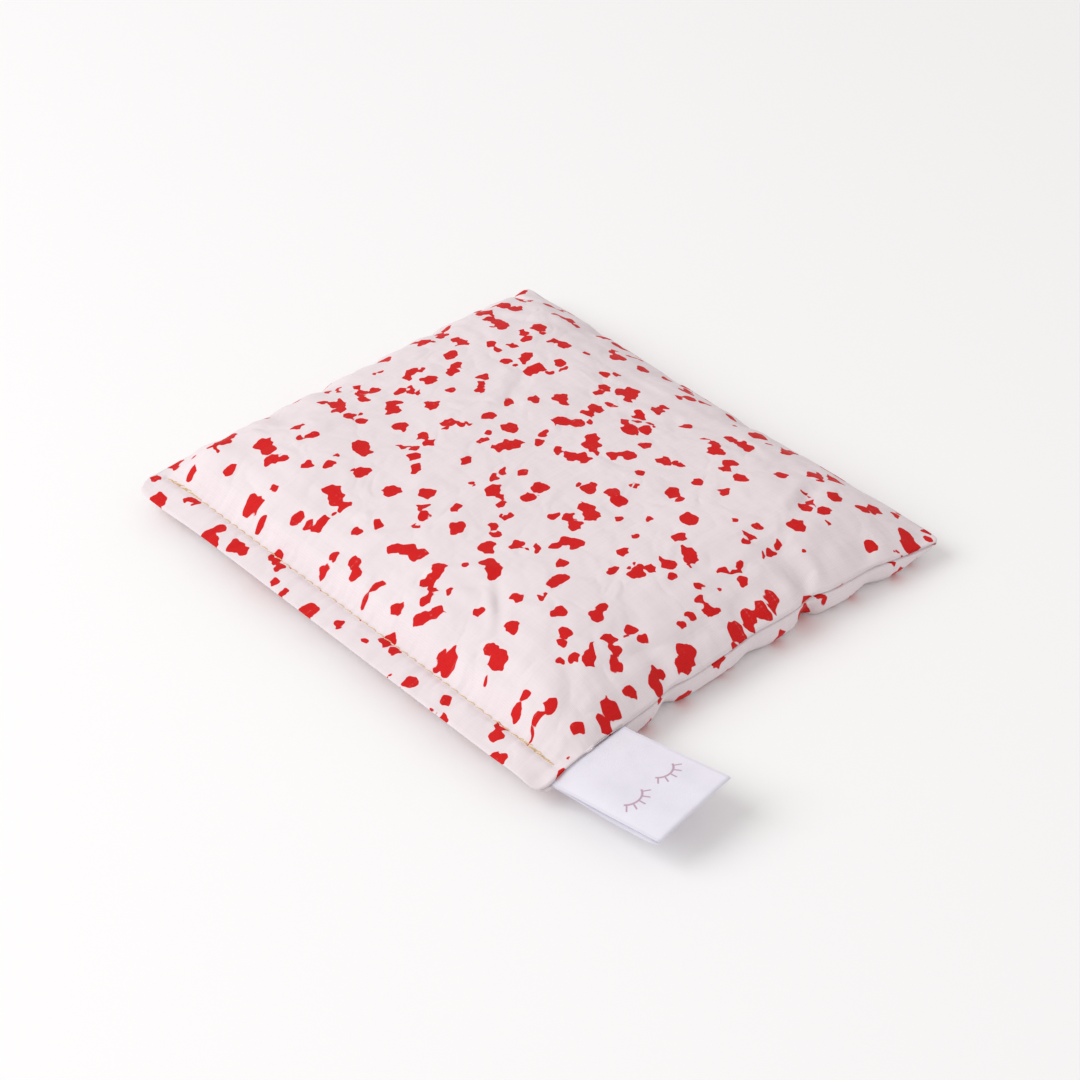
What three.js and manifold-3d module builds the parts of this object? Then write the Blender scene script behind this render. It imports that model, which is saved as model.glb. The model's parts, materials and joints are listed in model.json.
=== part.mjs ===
// Eye pillow: a small cotton pouch filled with grain, lying flat.
// Two printed panels are joined by a turned seam on three sides. The fourth side is folded in and closed
// with a line of topstitching. A folded satin ribbon is caught in the side seam as a label.
//
// Millimetres. Z is up, and the origin is the middle of the face that the pillow rests on.
// X runs across the pillow, from the closing hem (-X) to the far seam (+X). Y runs along the hem, and
// the label hangs from the -Y seam.

import * as THREE from 'three';
import { mergeVertices } from 'three/addons/utils/BufferGeometryUtils.js';
import Module from 'manifold-3d';

// ---------------------------------------------------------------- driving dimensions

const pillowWidth = 124;          // X, from the closing edge to the far seam
const pillowLength = 140;         // Y, along the closing edge
const crownHeight = 21;           // top of the filled middle above the table
const seamHeight = 7;             // middle of the turned seam above the table
const cornerRadius = 4;
const cornerSoftening = 0.8;      // how much rounder the corner gets for each millimetre inwards
const sidePullIn = 3;             // how far the filling draws each sewn side in at its middle

const clothThickness = 0.4;
const clearance = 0.3;            // gap left between touching pieces
const sideAllowance = 8;          // cloth turned inside along the three sewn sides
const closingAllowance = 12;      // cloth folded inside along the closing edge
const hemWidth = 7.1;             // closing edge to its line of topstitching
const hemBagging = 1;             // how far the panels part over the folded hem at the stitching

const topRun = 36;                // distance over which the upper panel climbs to its crown
const topFullness = 2.4;          // a higher power makes a steeper shoulder
const bottomRun = 12;             // distance over which the lower panel drops to the table
const bottomFullness = 2;

const threadDiameter = 0.3;
const threadGap = 0.2;            // from a thread to the cloth that it lies on
const stitchLength = 2.75;
const stitchRise = 0.12;          // each stitch stands up between its two needle holes
const seamThreadInset = 1.6;      // seam edge to the thread in its inner crease
const stitchEndInset = 2.8;       // side seam to the end of the topstitching
const tackLength = 11;            // the run that is sewn back over itself at each end
const tackSpread = 0.5;

const ribbonWidth = 22.3;
const ribbonThickness = 0.25;
const ribbonFoldGap = 0.2;        // between the two layers of the folded ribbon
const ribbonReach = 27.2;         // hinge line to the folded end
const ribbonTail = 6.5;           // the cut ends, inside the seam
const ribbonFromCorner = 3.7;     // closing edge to the near side of the ribbon
const ribbonTurn = 5.5;           // degrees that the ribbon is sewn off square
const ribbonRise = 4.5;           // degrees that the springy ribbon stands above level
const ribbonHingeOut = 0.9;       // seam edge to the line where the ribbon bends
const ribbonBendGap = 0.4;        // half the gap left for the bend, on each side of that line

const cornerSteps = 4;
const sideSteps = 8;
const threadSides = 5;

// ---------------------------------------------------------------- derived sizes

const halfWidth = pillowWidth / 2;
const halfLength = pillowLength / 2;
const seamGap = 2 * ribbonThickness + 2 * clearance;
const ribbonStack = 2 * ribbonThickness + ribbonFoldGap;
const hemFlat = hemWidth + tackSpread + threadDiameter;         // the hem stays flat past its stitching
const fillingInset = seamThreadInset + threadDiameter + clearance; // the filling stops short of the seam

// ---------------------------------------------------------------- materials

const cotton = () => new THREE.MeshStandardMaterial({ color: 0xe9dfe2, roughness: 0.85, metalness: 0 });
const thread = () => new THREE.MeshStandardMaterial({ color: 0xd9bf8c, roughness: 0.6, metalness: 0 });
const satin = () => new THREE.MeshStandardMaterial({ color: 0xeeecf5, roughness: 0.4, metalness: 0 });
const grain = () => new THREE.MeshStandardMaterial({ color: 0x9a6a3c, roughness: 0.8, metalness: 0 });

// ---------------------------------------------------------------- the pillow's plan

// Draws the three sewn sides in between their corners. The closing side stays straight.
function pulledIn(x, y) {
  const acrossShare = x / halfWidth;
  const alongShare = y / halfLength;
  const sideways = acrossShare > 0 ? sidePullIn * acrossShare * (1 - alongShare ** 2) : 0;
  const endways = sidePullIn * alongShare * (1 - acrossShare ** 2);
  return new THREE.Vector2(x - sideways, y - endways);
}

// One closed outline: a rounded rectangle set in from the edges, as points that also say how much
// they belong to the closing side.
function outline(sideInset, closingInset) {
  const left = -halfWidth + closingInset;
  const right = halfWidth - sideInset;
  const front = -halfLength + sideInset;
  const back = halfLength - sideInset;
  const radius = Math.min(
    cornerRadius + cornerSoftening * sideInset,
    0.49 * (right - left),
    0.49 * (back - front),
  );
  const corners = [
    { x: right - radius, y: front + radius, from: -Math.PI / 2, closing: [0, 0] },
    { x: right - radius, y: back - radius, from: 0, closing: [0, 0] },
    { x: left + radius, y: back - radius, from: Math.PI / 2, closing: [0, 1] },
    { x: left + radius, y: front + radius, from: Math.PI, closing: [1, 0] },
  ];
  const points = [];
  const arcPoint = (corner, share) => ({
    x: corner.x + radius * Math.cos(corner.from + share * Math.PI / 2),
    y: corner.y + radius * Math.sin(corner.from + share * Math.PI / 2),
    closing: THREE.MathUtils.lerp(corner.closing[0], corner.closing[1], share),
  });
  corners.forEach((corner, index) => {
    for (let step = 0; step <= cornerSteps; step += 1) {
      points.push(arcPoint(corner, step / cornerSteps));
    }
    const start = points[points.length - 1];
    const end = arcPoint(corners[(index + 1) % corners.length], 0);
    for (let step = 1; step < sideSteps; step += 1) {
      const share = step / sideSteps;
      points.push({
        x: THREE.MathUtils.lerp(start.x, end.x, share),
        y: THREE.MathUtils.lerp(start.y, end.y, share),
        closing: start.closing,
      });
    }
  });
  return points;
}

// A ring of the loft: the outline at one inset, with its height on the sewn sides and on the closing side.
function ring(side, closing) {
  return outline(side.inset, closing.inset).map((point) => {
    const place = pulledIn(point.x, point.y);
    const height = THREE.MathUtils.lerp(side.z, closing.z, point.closing);
    return new THREE.Vector3(place.x, place.y, height);
  });
}

// A closed body through a list of rings, with a fan over the first and the last.
function closedLoft(rings) {
  const count = rings[0].length;
  const positions = [];
  rings.forEach((points) => points.forEach((point) => positions.push(point.x, point.y, point.z)));
  const triangles = [];
  for (let row = 0; row + 1 < rings.length; row += 1) {
    for (let step = 0; step < count; step += 1) {
      const next = (step + 1) % count;
      const [a, b] = [row * count + step, row * count + next];
      const [c, d] = [a + count, b + count];
      triangles.push(a, c, b, b, c, d);
    }
  }
  [0, rings.length - 1].forEach((row) => {
    const centre = new THREE.Vector3();
    rings[row].forEach((point) => centre.addScaledVector(point, 1 / count));
    const hub = positions.length / 3;
    positions.push(centre.x, centre.y, centre.z);
    for (let step = 0; step < count; step += 1) {
      const [a, b] = [row * count + step, row * count + ((step + 1) % count)];
      triangles.push(...(row === 0 ? [hub, a, b] : [hub, b, a]));
    }
  });
  return facingOut(positions, triangles);
}

// Turns the triangles round if the volume they hold comes out negative.
function facingOut(positions, triangles) {
  const corner = (index) => new THREE.Vector3().fromArray(positions, 3 * index);
  let volume = 0;
  for (let at = 0; at < triangles.length; at += 3) {
    const [a, b, c] = [0, 1, 2].map((offset) => corner(triangles[at + offset]));
    volume += a.dot(b.cross(c));
  }
  const geometry = new THREE.BufferGeometry();
  geometry.setAttribute('position', new THREE.Float32BufferAttribute(positions, 3));
  geometry.setIndex(volume < 0 ? triangles.slice().reverse() : triangles);
  return geometry;
}

// ---------------------------------------------------------------- the cloth's section

// Each panel is described as if it were the upper one: heights are measured away from the seam's middle
// plane, and the panel's sign puts them above or below it.
const panels = {
  top: { sign: 1, height: crownHeight - seamHeight, run: topRun, fullness: topFullness },
  bottom: { sign: -1, height: seamHeight, run: bottomRun, fullness: bottomFullness },
};
const skinShares = [0, 0.045, 0.1, 0.18, 0.29, 0.44, 0.65, 1];
const hemShare = skinShares[1];
const allowanceLow = seamGap / 2;
const allowanceHigh = allowanceLow + clothThickness;
const foldHigh = allowanceHigh + clothThickness;
const hemHigh = foldHigh + hemBagging;

// Height and slope of a panel's outer face, at a share of its climb.
function climb(panel, base, share) {
  const left = 1 - share;
  return {
    z: base + (panel.height - base) * (1 - left ** panel.fullness),
    slope: (panel.height - base) / panel.run * panel.fullness * left ** (panel.fullness - 1),
  };
}

// The panel's face at one share, as a pair of places: on a sewn side and on the closing side.
// depth is measured inwards through the cloth.
function skinAt(panel, share, depth) {
  const atEdge = share === 0;
  const pastHem = Math.max(0, (share - hemShare) / (1 - hemShare));
  const side = climb(panel, foldHigh, share);
  const closing = atEdge ? { z: foldHigh, slope: 0 } : climb(panel, hemHigh, pastHem);
  const through = (face) => face.z - depth * Math.sqrt(1 + face.slope ** 2);
  return {
    side: { inset: share * panel.run, z: through(side) },
    closing: { inset: atEdge ? 0 : hemFlat + (share - hemShare) * panel.run, z: through(closing) },
  };
}

// Builds a ring from heights above the seam's middle plane.
function panelRing(panel, side, closing) {
  const place = (at) => ({ inset: at.inset, z: seamHeight + panel.sign * at.z });
  return ring(place(side), place(closing));
}

function sameOnBoth(panel, inset, closingInset, z) {
  return panelRing(panel, { inset, z }, { inset: closingInset, z });
}

// A panel: its outer face from the middle to the edge, the allowance turned in under it, and its
// inner face back to the middle.
function panelGeometry(panel) {
  const skin = (share, depth) => {
    const at = skinAt(panel, share, depth);
    return panelRing(panel, at.side, at.closing);
  };
  return closedLoft([
    ...skinShares.toReversed().map((share) => skin(share, 0)),
    sameOnBoth(panel, 0, 0, allowanceLow),
    sameOnBoth(panel, sideAllowance, closingAllowance, allowanceLow),
    sameOnBoth(panel, sideAllowance, closingAllowance, allowanceHigh),
    sameOnBoth(panel, clothThickness, clothThickness, allowanceHigh),
    ...skinShares.slice(1).map((share) => skin(share, clothThickness)),
  ]);
}

// The filling: it follows the inner faces, and its rim closes round the turned-in allowances.
function fillingGeometry() {
  const half = (panel) => {
    const lipShare = fillingInset / panel.run;
    const lip = skinAt(panel, lipShare, 0);
    const shares = [...skinShares.filter((share) => share > lipShare).reverse(), lipShare];
    const faces = shares.map((share) => {
      const at = skinAt(panel, share, clothThickness + clearance);
      return panelRing(panel, at.side, at.closing);
    });
    return [
      ...faces,
      sameOnBoth(panel, lip.side.inset, lip.closing.inset, allowanceHigh + clearance),
      sameOnBoth(panel, sideAllowance + clearance, closingAllowance + clearance, allowanceHigh + clearance),
    ];
  };
  return closedLoft([...half(panels.top), ...half(panels.bottom).reverse()]);
}

// ---------------------------------------------------------------- threads

const wasm = await Module();
wasm.setup();

// A mesh as a manifold solid, and back again.
function solidOf(geometry) {
  const bare = new THREE.BufferGeometry();
  bare.setAttribute('position', geometry.getAttribute('position').clone());
  if (geometry.index) {
    bare.setIndex(geometry.index.clone());
  }
  const merged = mergeVertices(bare);
  return new wasm.Manifold(new wasm.Mesh({
    numProp: 3,
    vertProperties: new Float32Array(merged.getAttribute('position').array),
    triVerts: new Uint32Array(merged.index.array),
  }));
}

function geometryOf(solid) {
  const mesh = solid.getMesh();
  const geometry = new THREE.BufferGeometry();
  geometry.setAttribute('position', new THREE.Float32BufferAttribute(mesh.vertProperties, 3));
  geometry.setIndex([...mesh.triVerts]);
  return geometry;
}

function threadAlong(points, steps) {
  const section = new THREE.Shape();
  for (let side = 0; side < threadSides; side += 1) {
    const angle = 2 * Math.PI * side / threadSides;
    const x = threadDiameter / 2 * Math.cos(angle);
    const y = threadDiameter / 2 * Math.sin(angle);
    if (side === 0) {
      section.moveTo(x, y);
    } else {
      section.lineTo(x, y);
    }
  }
  return new THREE.ExtrudeGeometry(section, {
    steps,
    bevelEnabled: false,
    extrudePath: new THREE.CatmullRomCurve3(points),
  });
}

// A straight run of stitches on the hem, from one Y to another. It stands up between the needle holes.
function stitchRun(panel, from, to, offsetFrom, offsetTo) {
  const count = Math.max(2, Math.round(Math.abs(to - from) / stitchLength));
  const low = hemHigh + threadGap + threadDiameter / 2;
  const points = [];
  for (let step = 0; step <= 2 * count; step += 1) {
    const share = step / (2 * count);
    const rise = step % 2 ? stitchRise : 0;
    const x = -halfWidth + hemWidth + THREE.MathUtils.lerp(offsetFrom, offsetTo, share);
    const place = pulledIn(x, THREE.MathUtils.lerp(from, to, share));
    points.push(new THREE.Vector3(place.x, place.y, seamHeight + panel.sign * (low + rise)));
  }
  return solidOf(threadAlong(points, 2 * count));
}

// The topstitching on one face of the hem: one long run, sewn back over itself at both ends.
function closingThreadGeometry(panel) {
  const end = halfLength - stitchEndInset;
  let solid = stitchRun(panel, -end, end, 0, 0);
  [-1, 1].forEach((side) => {
    const tackStart = side * (end - tackLength);
    solid = solid.add(stitchRun(panel, tackStart, side * end, -tackSpread, tackSpread));
    solid = solid.add(stitchRun(panel, side * (end - stitchLength / 2), tackStart, -tackSpread, tackSpread));
  });
  return geometryOf(solid);
}

// The seam's thread runs round the three sewn sides, in the crease between a panel and its allowance.
// Both ends stop where the flat hem begins.
function seamThreadGeometry(panel) {
  const height = allowanceHigh + threadGap + threadDiameter / 2;
  const loop = outline(seamThreadInset, hemFlat + seamThreadInset);
  const closingStart = loop.findIndex((point) => point.closing > 0);
  const closingEnd = loop.length - cornerSteps - (sideSteps - 1);
  const route = [...loop.slice(closingEnd + cornerSteps), ...loop.slice(0, closingStart)];
  const points = route.map((point) => {
    const place = pulledIn(point.x, point.y);
    return new THREE.Vector3(place.x, place.y, seamHeight + panel.sign * height);
  });
  return threadAlong(points, 2 * points.length);
}

// ---------------------------------------------------------------- label ribbon

// The seam under the ribbon, as a straight line from one side of it to the other.
const ribbonNear = pulledIn(-halfWidth + ribbonFromCorner, -halfLength);
const ribbonFar = pulledIn(-halfWidth + ribbonFromCorner + ribbonWidth, -halfLength);
const seamTurn = Math.atan2(ribbonFar.y - ribbonNear.y, ribbonFar.x - ribbonNear.x);
const ribbonSkew = THREE.MathUtils.degToRad(ribbonTurn) - seamTurn;
const seamMiddle = new THREE.Vector2().addVectors(ribbonNear, ribbonFar).multiplyScalar(0.5);

// A plate in the ribbon's own frame: X across it, Y along it and away from the pillow towards -Y.
function ribbonPlate(section) {
  const geometry = new THREE.ExtrudeGeometry(section, { depth: ribbonWidth, bevelEnabled: false });
  geometry.translate(0, 0, -ribbonWidth / 2);
  // The section's x runs along the ribbon and its y is the height; the extrusion becomes the width.
  geometry.applyMatrix4(new THREE.Matrix4().makeBasis(
    new THREE.Vector3(0, -1, 0),
    new THREE.Vector3(0, 0, 1),
    new THREE.Vector3(-1, 0, 0),
  ));
  geometry.rotateZ(ribbonSkew);
  return solidOf(geometry);
}

// Cuts a ribbon plate off along the seam, keeping what lies between two distances outside the hinge line.
function cutAlongSeam(solid, nearest, furthest) {
  const block = new THREE.BoxGeometry(4 * ribbonWidth, furthest - nearest, 4 * ribbonStack);
  block.translate(0, -(nearest + furthest) / 2, 0);
  return geometryOf(solid.intersect(solidOf(block)));
}

function ribbonFoldSection() {
  const outer = ribbonStack / 2;
  const inner = ribbonFoldGap / 2;
  const bend = ribbonReach - outer;
  const section = new THREE.Shape();
  section.moveTo(-ribbonReach / 4, outer);
  section.lineTo(bend, outer);
  section.absarc(bend, 0, outer, Math.PI / 2, -Math.PI / 2, true);
  section.lineTo(-ribbonReach / 4, -outer);
  section.lineTo(-ribbonReach / 4, -inner);
  section.lineTo(bend, -inner);
  section.absarc(bend, 0, inner, -Math.PI / 2, Math.PI / 2, false);
  section.lineTo(-ribbonReach / 4, inner);
  section.closePath();
  return section;
}

// The flap ends in one small web at its seam end, where the two layers are pressed together.
function ribbonFlapGeometry() {
  const web = new THREE.Shape();
  web.moveTo(0, ribbonStack / 2);
  web.lineTo(3 * ribbonStack, ribbonStack / 2);
  web.lineTo(3 * ribbonStack, -ribbonStack / 2);
  web.lineTo(0, -ribbonStack / 2);
  web.closePath();
  const flap = ribbonPlate(ribbonFoldSection()).add(ribbonPlate(web));
  return cutAlongSeam(flap, ribbonBendGap, 2 * ribbonReach);
}

function ribbonEndGeometry() {
  const section = new THREE.Shape();
  section.moveTo(-2 * ribbonTail, ribbonThickness);
  section.lineTo(ribbonTail, ribbonThickness);
  section.lineTo(ribbonTail, -ribbonThickness);
  section.lineTo(-2 * ribbonTail, -ribbonThickness);
  section.closePath();
  return cutAlongSeam(ribbonPlate(section), -ribbonTail - ribbonHingeOut, -ribbonBendGap);
}

// ---------------------------------------------------------------- assembly

const group = new THREE.Group();

function place(name, geometry, material, parent = group) {
  const mesh = new THREE.Mesh(geometry, material);
  mesh.name = name;
  parent.add(mesh);
}

place('top_panel', panelGeometry(panels.top), cotton());
place('bottom_panel', panelGeometry(panels.bottom), cotton());
place('grain_filling', fillingGeometry(), grain());
place('seam_needle_thread', seamThreadGeometry(panels.top), thread());
place('seam_bobbin_thread', seamThreadGeometry(panels.bottom), thread());
place('closing_needle_thread', closingThreadGeometry(panels.top), thread());
place('closing_bobbin_thread', closingThreadGeometry(panels.bottom), thread());

// The label's frame stands on the hinge line, outside the seam, with its X along the seam.
const labelFrame = new THREE.Group();
const outwards = new THREE.Vector2(Math.sin(seamTurn), -Math.cos(seamTurn)).multiplyScalar(ribbonHingeOut);
labelFrame.position.set(seamMiddle.x + outwards.x, seamMiddle.y + outwards.y, seamHeight);
labelFrame.rotation.z = seamTurn;
group.add(labelFrame);
place('label_seam_end', ribbonEndGeometry(), satin(), labelFrame);

// The flap turns on that line, so it has a frame of its own. Its free end stands a little above the seam.
const flapFrame = new THREE.Group();
flapFrame.rotation.x = -THREE.MathUtils.degToRad(ribbonRise);
labelFrame.add(flapFrame);
place('label_flap', ribbonFlapGeometry(), satin(), flapFrame);

export default group;
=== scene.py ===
"""An eye pillow: a printed cotton pouch filled with grain, lying on a pale studio floor.

The pouch is two panels of cloth joined by a turned seam on three sides. The fourth side is folded in
and closed with topstitching, and a folded satin ribbon is caught in the front seam as a label.

Sizes are in millimetres unless a name says otherwise. X runs from the closing hem to the far seam, Y
runs along the hem, and the label stands out from the front (-Y) seam.
"""

import json
import logging
import math
from collections.abc import Callable
from dataclasses import dataclass
from enum import Enum

import bmesh
import bpy
import numpy as np
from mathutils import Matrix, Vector, noise
from mathutils.bvhtree import BVHTree


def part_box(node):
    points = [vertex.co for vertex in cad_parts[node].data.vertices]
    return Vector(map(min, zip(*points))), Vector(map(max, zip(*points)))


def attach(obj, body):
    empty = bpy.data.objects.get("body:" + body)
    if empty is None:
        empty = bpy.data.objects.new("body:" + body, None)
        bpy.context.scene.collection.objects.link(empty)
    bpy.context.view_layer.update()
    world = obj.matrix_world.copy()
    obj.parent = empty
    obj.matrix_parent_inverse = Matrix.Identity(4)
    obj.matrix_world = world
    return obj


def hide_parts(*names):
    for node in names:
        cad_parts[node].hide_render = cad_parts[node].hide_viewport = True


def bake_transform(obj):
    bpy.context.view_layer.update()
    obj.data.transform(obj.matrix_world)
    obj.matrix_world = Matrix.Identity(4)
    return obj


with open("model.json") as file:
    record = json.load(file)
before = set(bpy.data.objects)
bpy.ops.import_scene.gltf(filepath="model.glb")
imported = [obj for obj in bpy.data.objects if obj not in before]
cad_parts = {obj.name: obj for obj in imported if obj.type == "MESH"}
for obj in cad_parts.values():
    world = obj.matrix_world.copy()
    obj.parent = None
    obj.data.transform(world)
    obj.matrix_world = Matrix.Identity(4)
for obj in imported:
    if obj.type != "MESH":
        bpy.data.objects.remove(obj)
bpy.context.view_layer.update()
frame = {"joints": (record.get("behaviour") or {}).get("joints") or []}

logging.basicConfig(level=logging.INFO, format="%(message)s")
log = logging.getLogger("eye_pillow")

MM = 0.001
UV_SPAN = 200.0  # the UV square covers this many millimetres of cloth
CLEAR_OF_POUCH = 60.0  # a height well above the pouch, or a depth well below it

Colour = tuple[float, float, float, float]


class Side(Enum):
    """The pouch's two panels, by the side of the seam that each is on."""

    UPPER = 1
    LOWER = -1


# ---------------------------------------------------------------- small tools


def ease(value: np.ndarray, low: float, high: float) -> np.ndarray:
    """Climbs smoothly from 0 to 1.

    Args:
        value: Where on the climb each point is.
        low: The value at which the climb starts.
        high: The value at which it ends.

    Returns:
        The height of the climb, from 0 to 1.
    """
    share = np.clip((value - low) / (high - low), 0.0, 1.0)
    return share * share * (3.0 - 2.0 * share)


def bump(distance: np.ndarray, width: float) -> np.ndarray:
    """Gives a bell that is 1 high at no distance and fades out over its width."""
    return np.exp(-((distance / width) ** 2))


def mottle(places: np.ndarray, size: float, seed: float) -> np.ndarray:
    """Gives gentle seeded noise between about -1 and 1.

    Args:
        places: Points on the flat cloth, one row each.
        size: The distance between one swell and the next.
        seed: Another seed gives another pattern.

    Returns:
        One value for each point.
    """
    return np.array([noise.noise(Vector((x / size, y / size, seed))) for x, y in places])


def points_of(piece: bpy.types.Object) -> np.ndarray:
    """Reads a mesh's points.

    Args:
        piece: The mesh object.

    Returns:
        One row of millimetres for each point.
    """
    flat = np.zeros(3 * len(piece.data.vertices), np.float32)
    piece.data.vertices.foreach_get("co", flat)
    return flat.reshape(-1, 3).astype(float) / MM


def set_points(piece: bpy.types.Object, points: np.ndarray) -> None:
    """Moves a mesh's points.

    Args:
        piece: The mesh object.
        points: One row of millimetres for each point.
    """
    piece.data.vertices.foreach_set("co", (points * MM).astype(np.float32).ravel())
    piece.data.update()


def corner_points(mesh: bpy.types.Mesh) -> np.ndarray:
    """Reads which point each face corner of a mesh is on.

    Args:
        mesh: The mesh.

    Returns:
        The point's number for each face corner.
    """
    index = np.zeros(len(mesh.loops), np.int32)
    mesh.loops.foreach_get("vertex_index", index)
    return index


def cut_places(piece: bpy.types.Object) -> np.ndarray:
    """Reads where each point of a cloth piece is on the flat cloth.

    Args:
        piece: A mesh with a UV map named cut.

    Returns:
        One row of two millimetre values for each point.
    """
    mesh = piece.data
    uv = np.zeros(2 * len(mesh.loops), np.float32)
    mesh.uv_layers["cut"].data.foreach_get("uv", uv)
    places = np.zeros((len(mesh.vertices), 2))
    places[corner_points(mesh)] = uv.reshape(-1, 2)
    return (places - 0.5) * UV_SPAN


def set_cut_places(piece: bpy.types.Object, places: np.ndarray) -> None:
    """Writes where each point of a cloth piece is on the flat cloth, in its cut UV map.

    Args:
        piece: A new grid.
        places: One row of two millimetre values for each point.
    """
    layer = piece.data.uv_layers[0]
    layer.name = "cut"
    corners = places[corner_points(piece.data)] / UV_SPAN + 0.5
    layer.data.foreach_set("uv", corners.astype(np.float32).ravel())


def new_grid(name: str, columns: int, rows: int) -> tuple[bpy.types.Object, np.ndarray]:
    """Adds a flat square grid.

    Args:
        name: The object's name.
        columns: The number of faces along X.
        rows: The number of faces along Y.

    Returns:
        The grid, and its points' X and Y from -1 to 1.
    """
    bpy.ops.object.select_all(action="DESELECT")
    bpy.ops.mesh.primitive_grid_add(x_subdivisions=columns, y_subdivisions=rows, size=2.0)
    piece = bpy.context.object
    piece.name = name
    return piece, points_of(piece)[:, :2] * MM


def choose(piece: bpy.types.Object) -> None:
    """Makes one object the only selected one, and the active one.

    Args:
        piece: The object.
    """
    bpy.ops.object.select_all(action="DESELECT")
    piece.select_set(True)
    bpy.context.view_layer.objects.active = piece


def apply_modifier(piece: bpy.types.Object, kind: str, **settings: object) -> None:
    """Adds a modifier to a piece and applies it.

    Args:
        piece: The mesh object.
        kind: The modifier's type.
        settings: Values to set on the modifier.
    """
    choose(piece)
    modifier = piece.modifiers.new(kind.lower(), kind)
    for name, value in settings.items():
        setattr(modifier, name, value)
    bpy.ops.object.modifier_apply(modifier=modifier.name)


def edit_faces(piece: bpy.types.Object, *steps: Callable[[], object]) -> None:
    """Runs edit mode operators on all the faces of a piece.

    Args:
        piece: The mesh object.
        steps: The operators, in order.
    """
    choose(piece)
    bpy.ops.object.mode_set(mode="EDIT")
    bpy.ops.mesh.select_all(action="SELECT")
    for step in steps:
        step()
    bpy.ops.object.mode_set(mode="OBJECT")


def face_outward() -> None:
    """Turns the selected faces outward."""
    bpy.ops.mesh.normals_make_consistent(inside=False)


def dress(piece: bpy.types.Object, material: bpy.types.Material) -> None:
    """Gives a piece its one finish.

    Args:
        piece: The mesh object.
        material: The finish.
    """
    piece.data.materials.clear()
    piece.data.materials.append(material)


def surface_of(piece: bpy.types.Object) -> BVHTree:
    """Gives a search tree over a piece's faces, in metres."""
    return BVHTree.FromObject(piece, bpy.context.evaluated_depsgraph_get())


def height_at(tree: BVHTree, x: float, y: float, side: Side) -> float:
    """Finds the outer face of the pouch above or below a place.

    Args:
        tree: The panel's search tree.
        x: Place across the pillow.
        y: Place along the pillow.
        side: The upper face is looked for from above, and the lower one from below.

    Returns:
        The height of the face.
    """
    start = Vector((x, y, CLEAR_OF_POUCH * side.value)) * MM
    hit = tree.ray_cast(start, Vector((0.0, 0.0, -side.value)))[0]
    return hit.z / MM


# ---------------------------------------------------------------- plan of the pouch


@dataclass(frozen=True)
class Gather:
    """A place where a sewn side puckers: how far it draws in, and over what width."""

    along: float
    draw: float
    width: float


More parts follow.
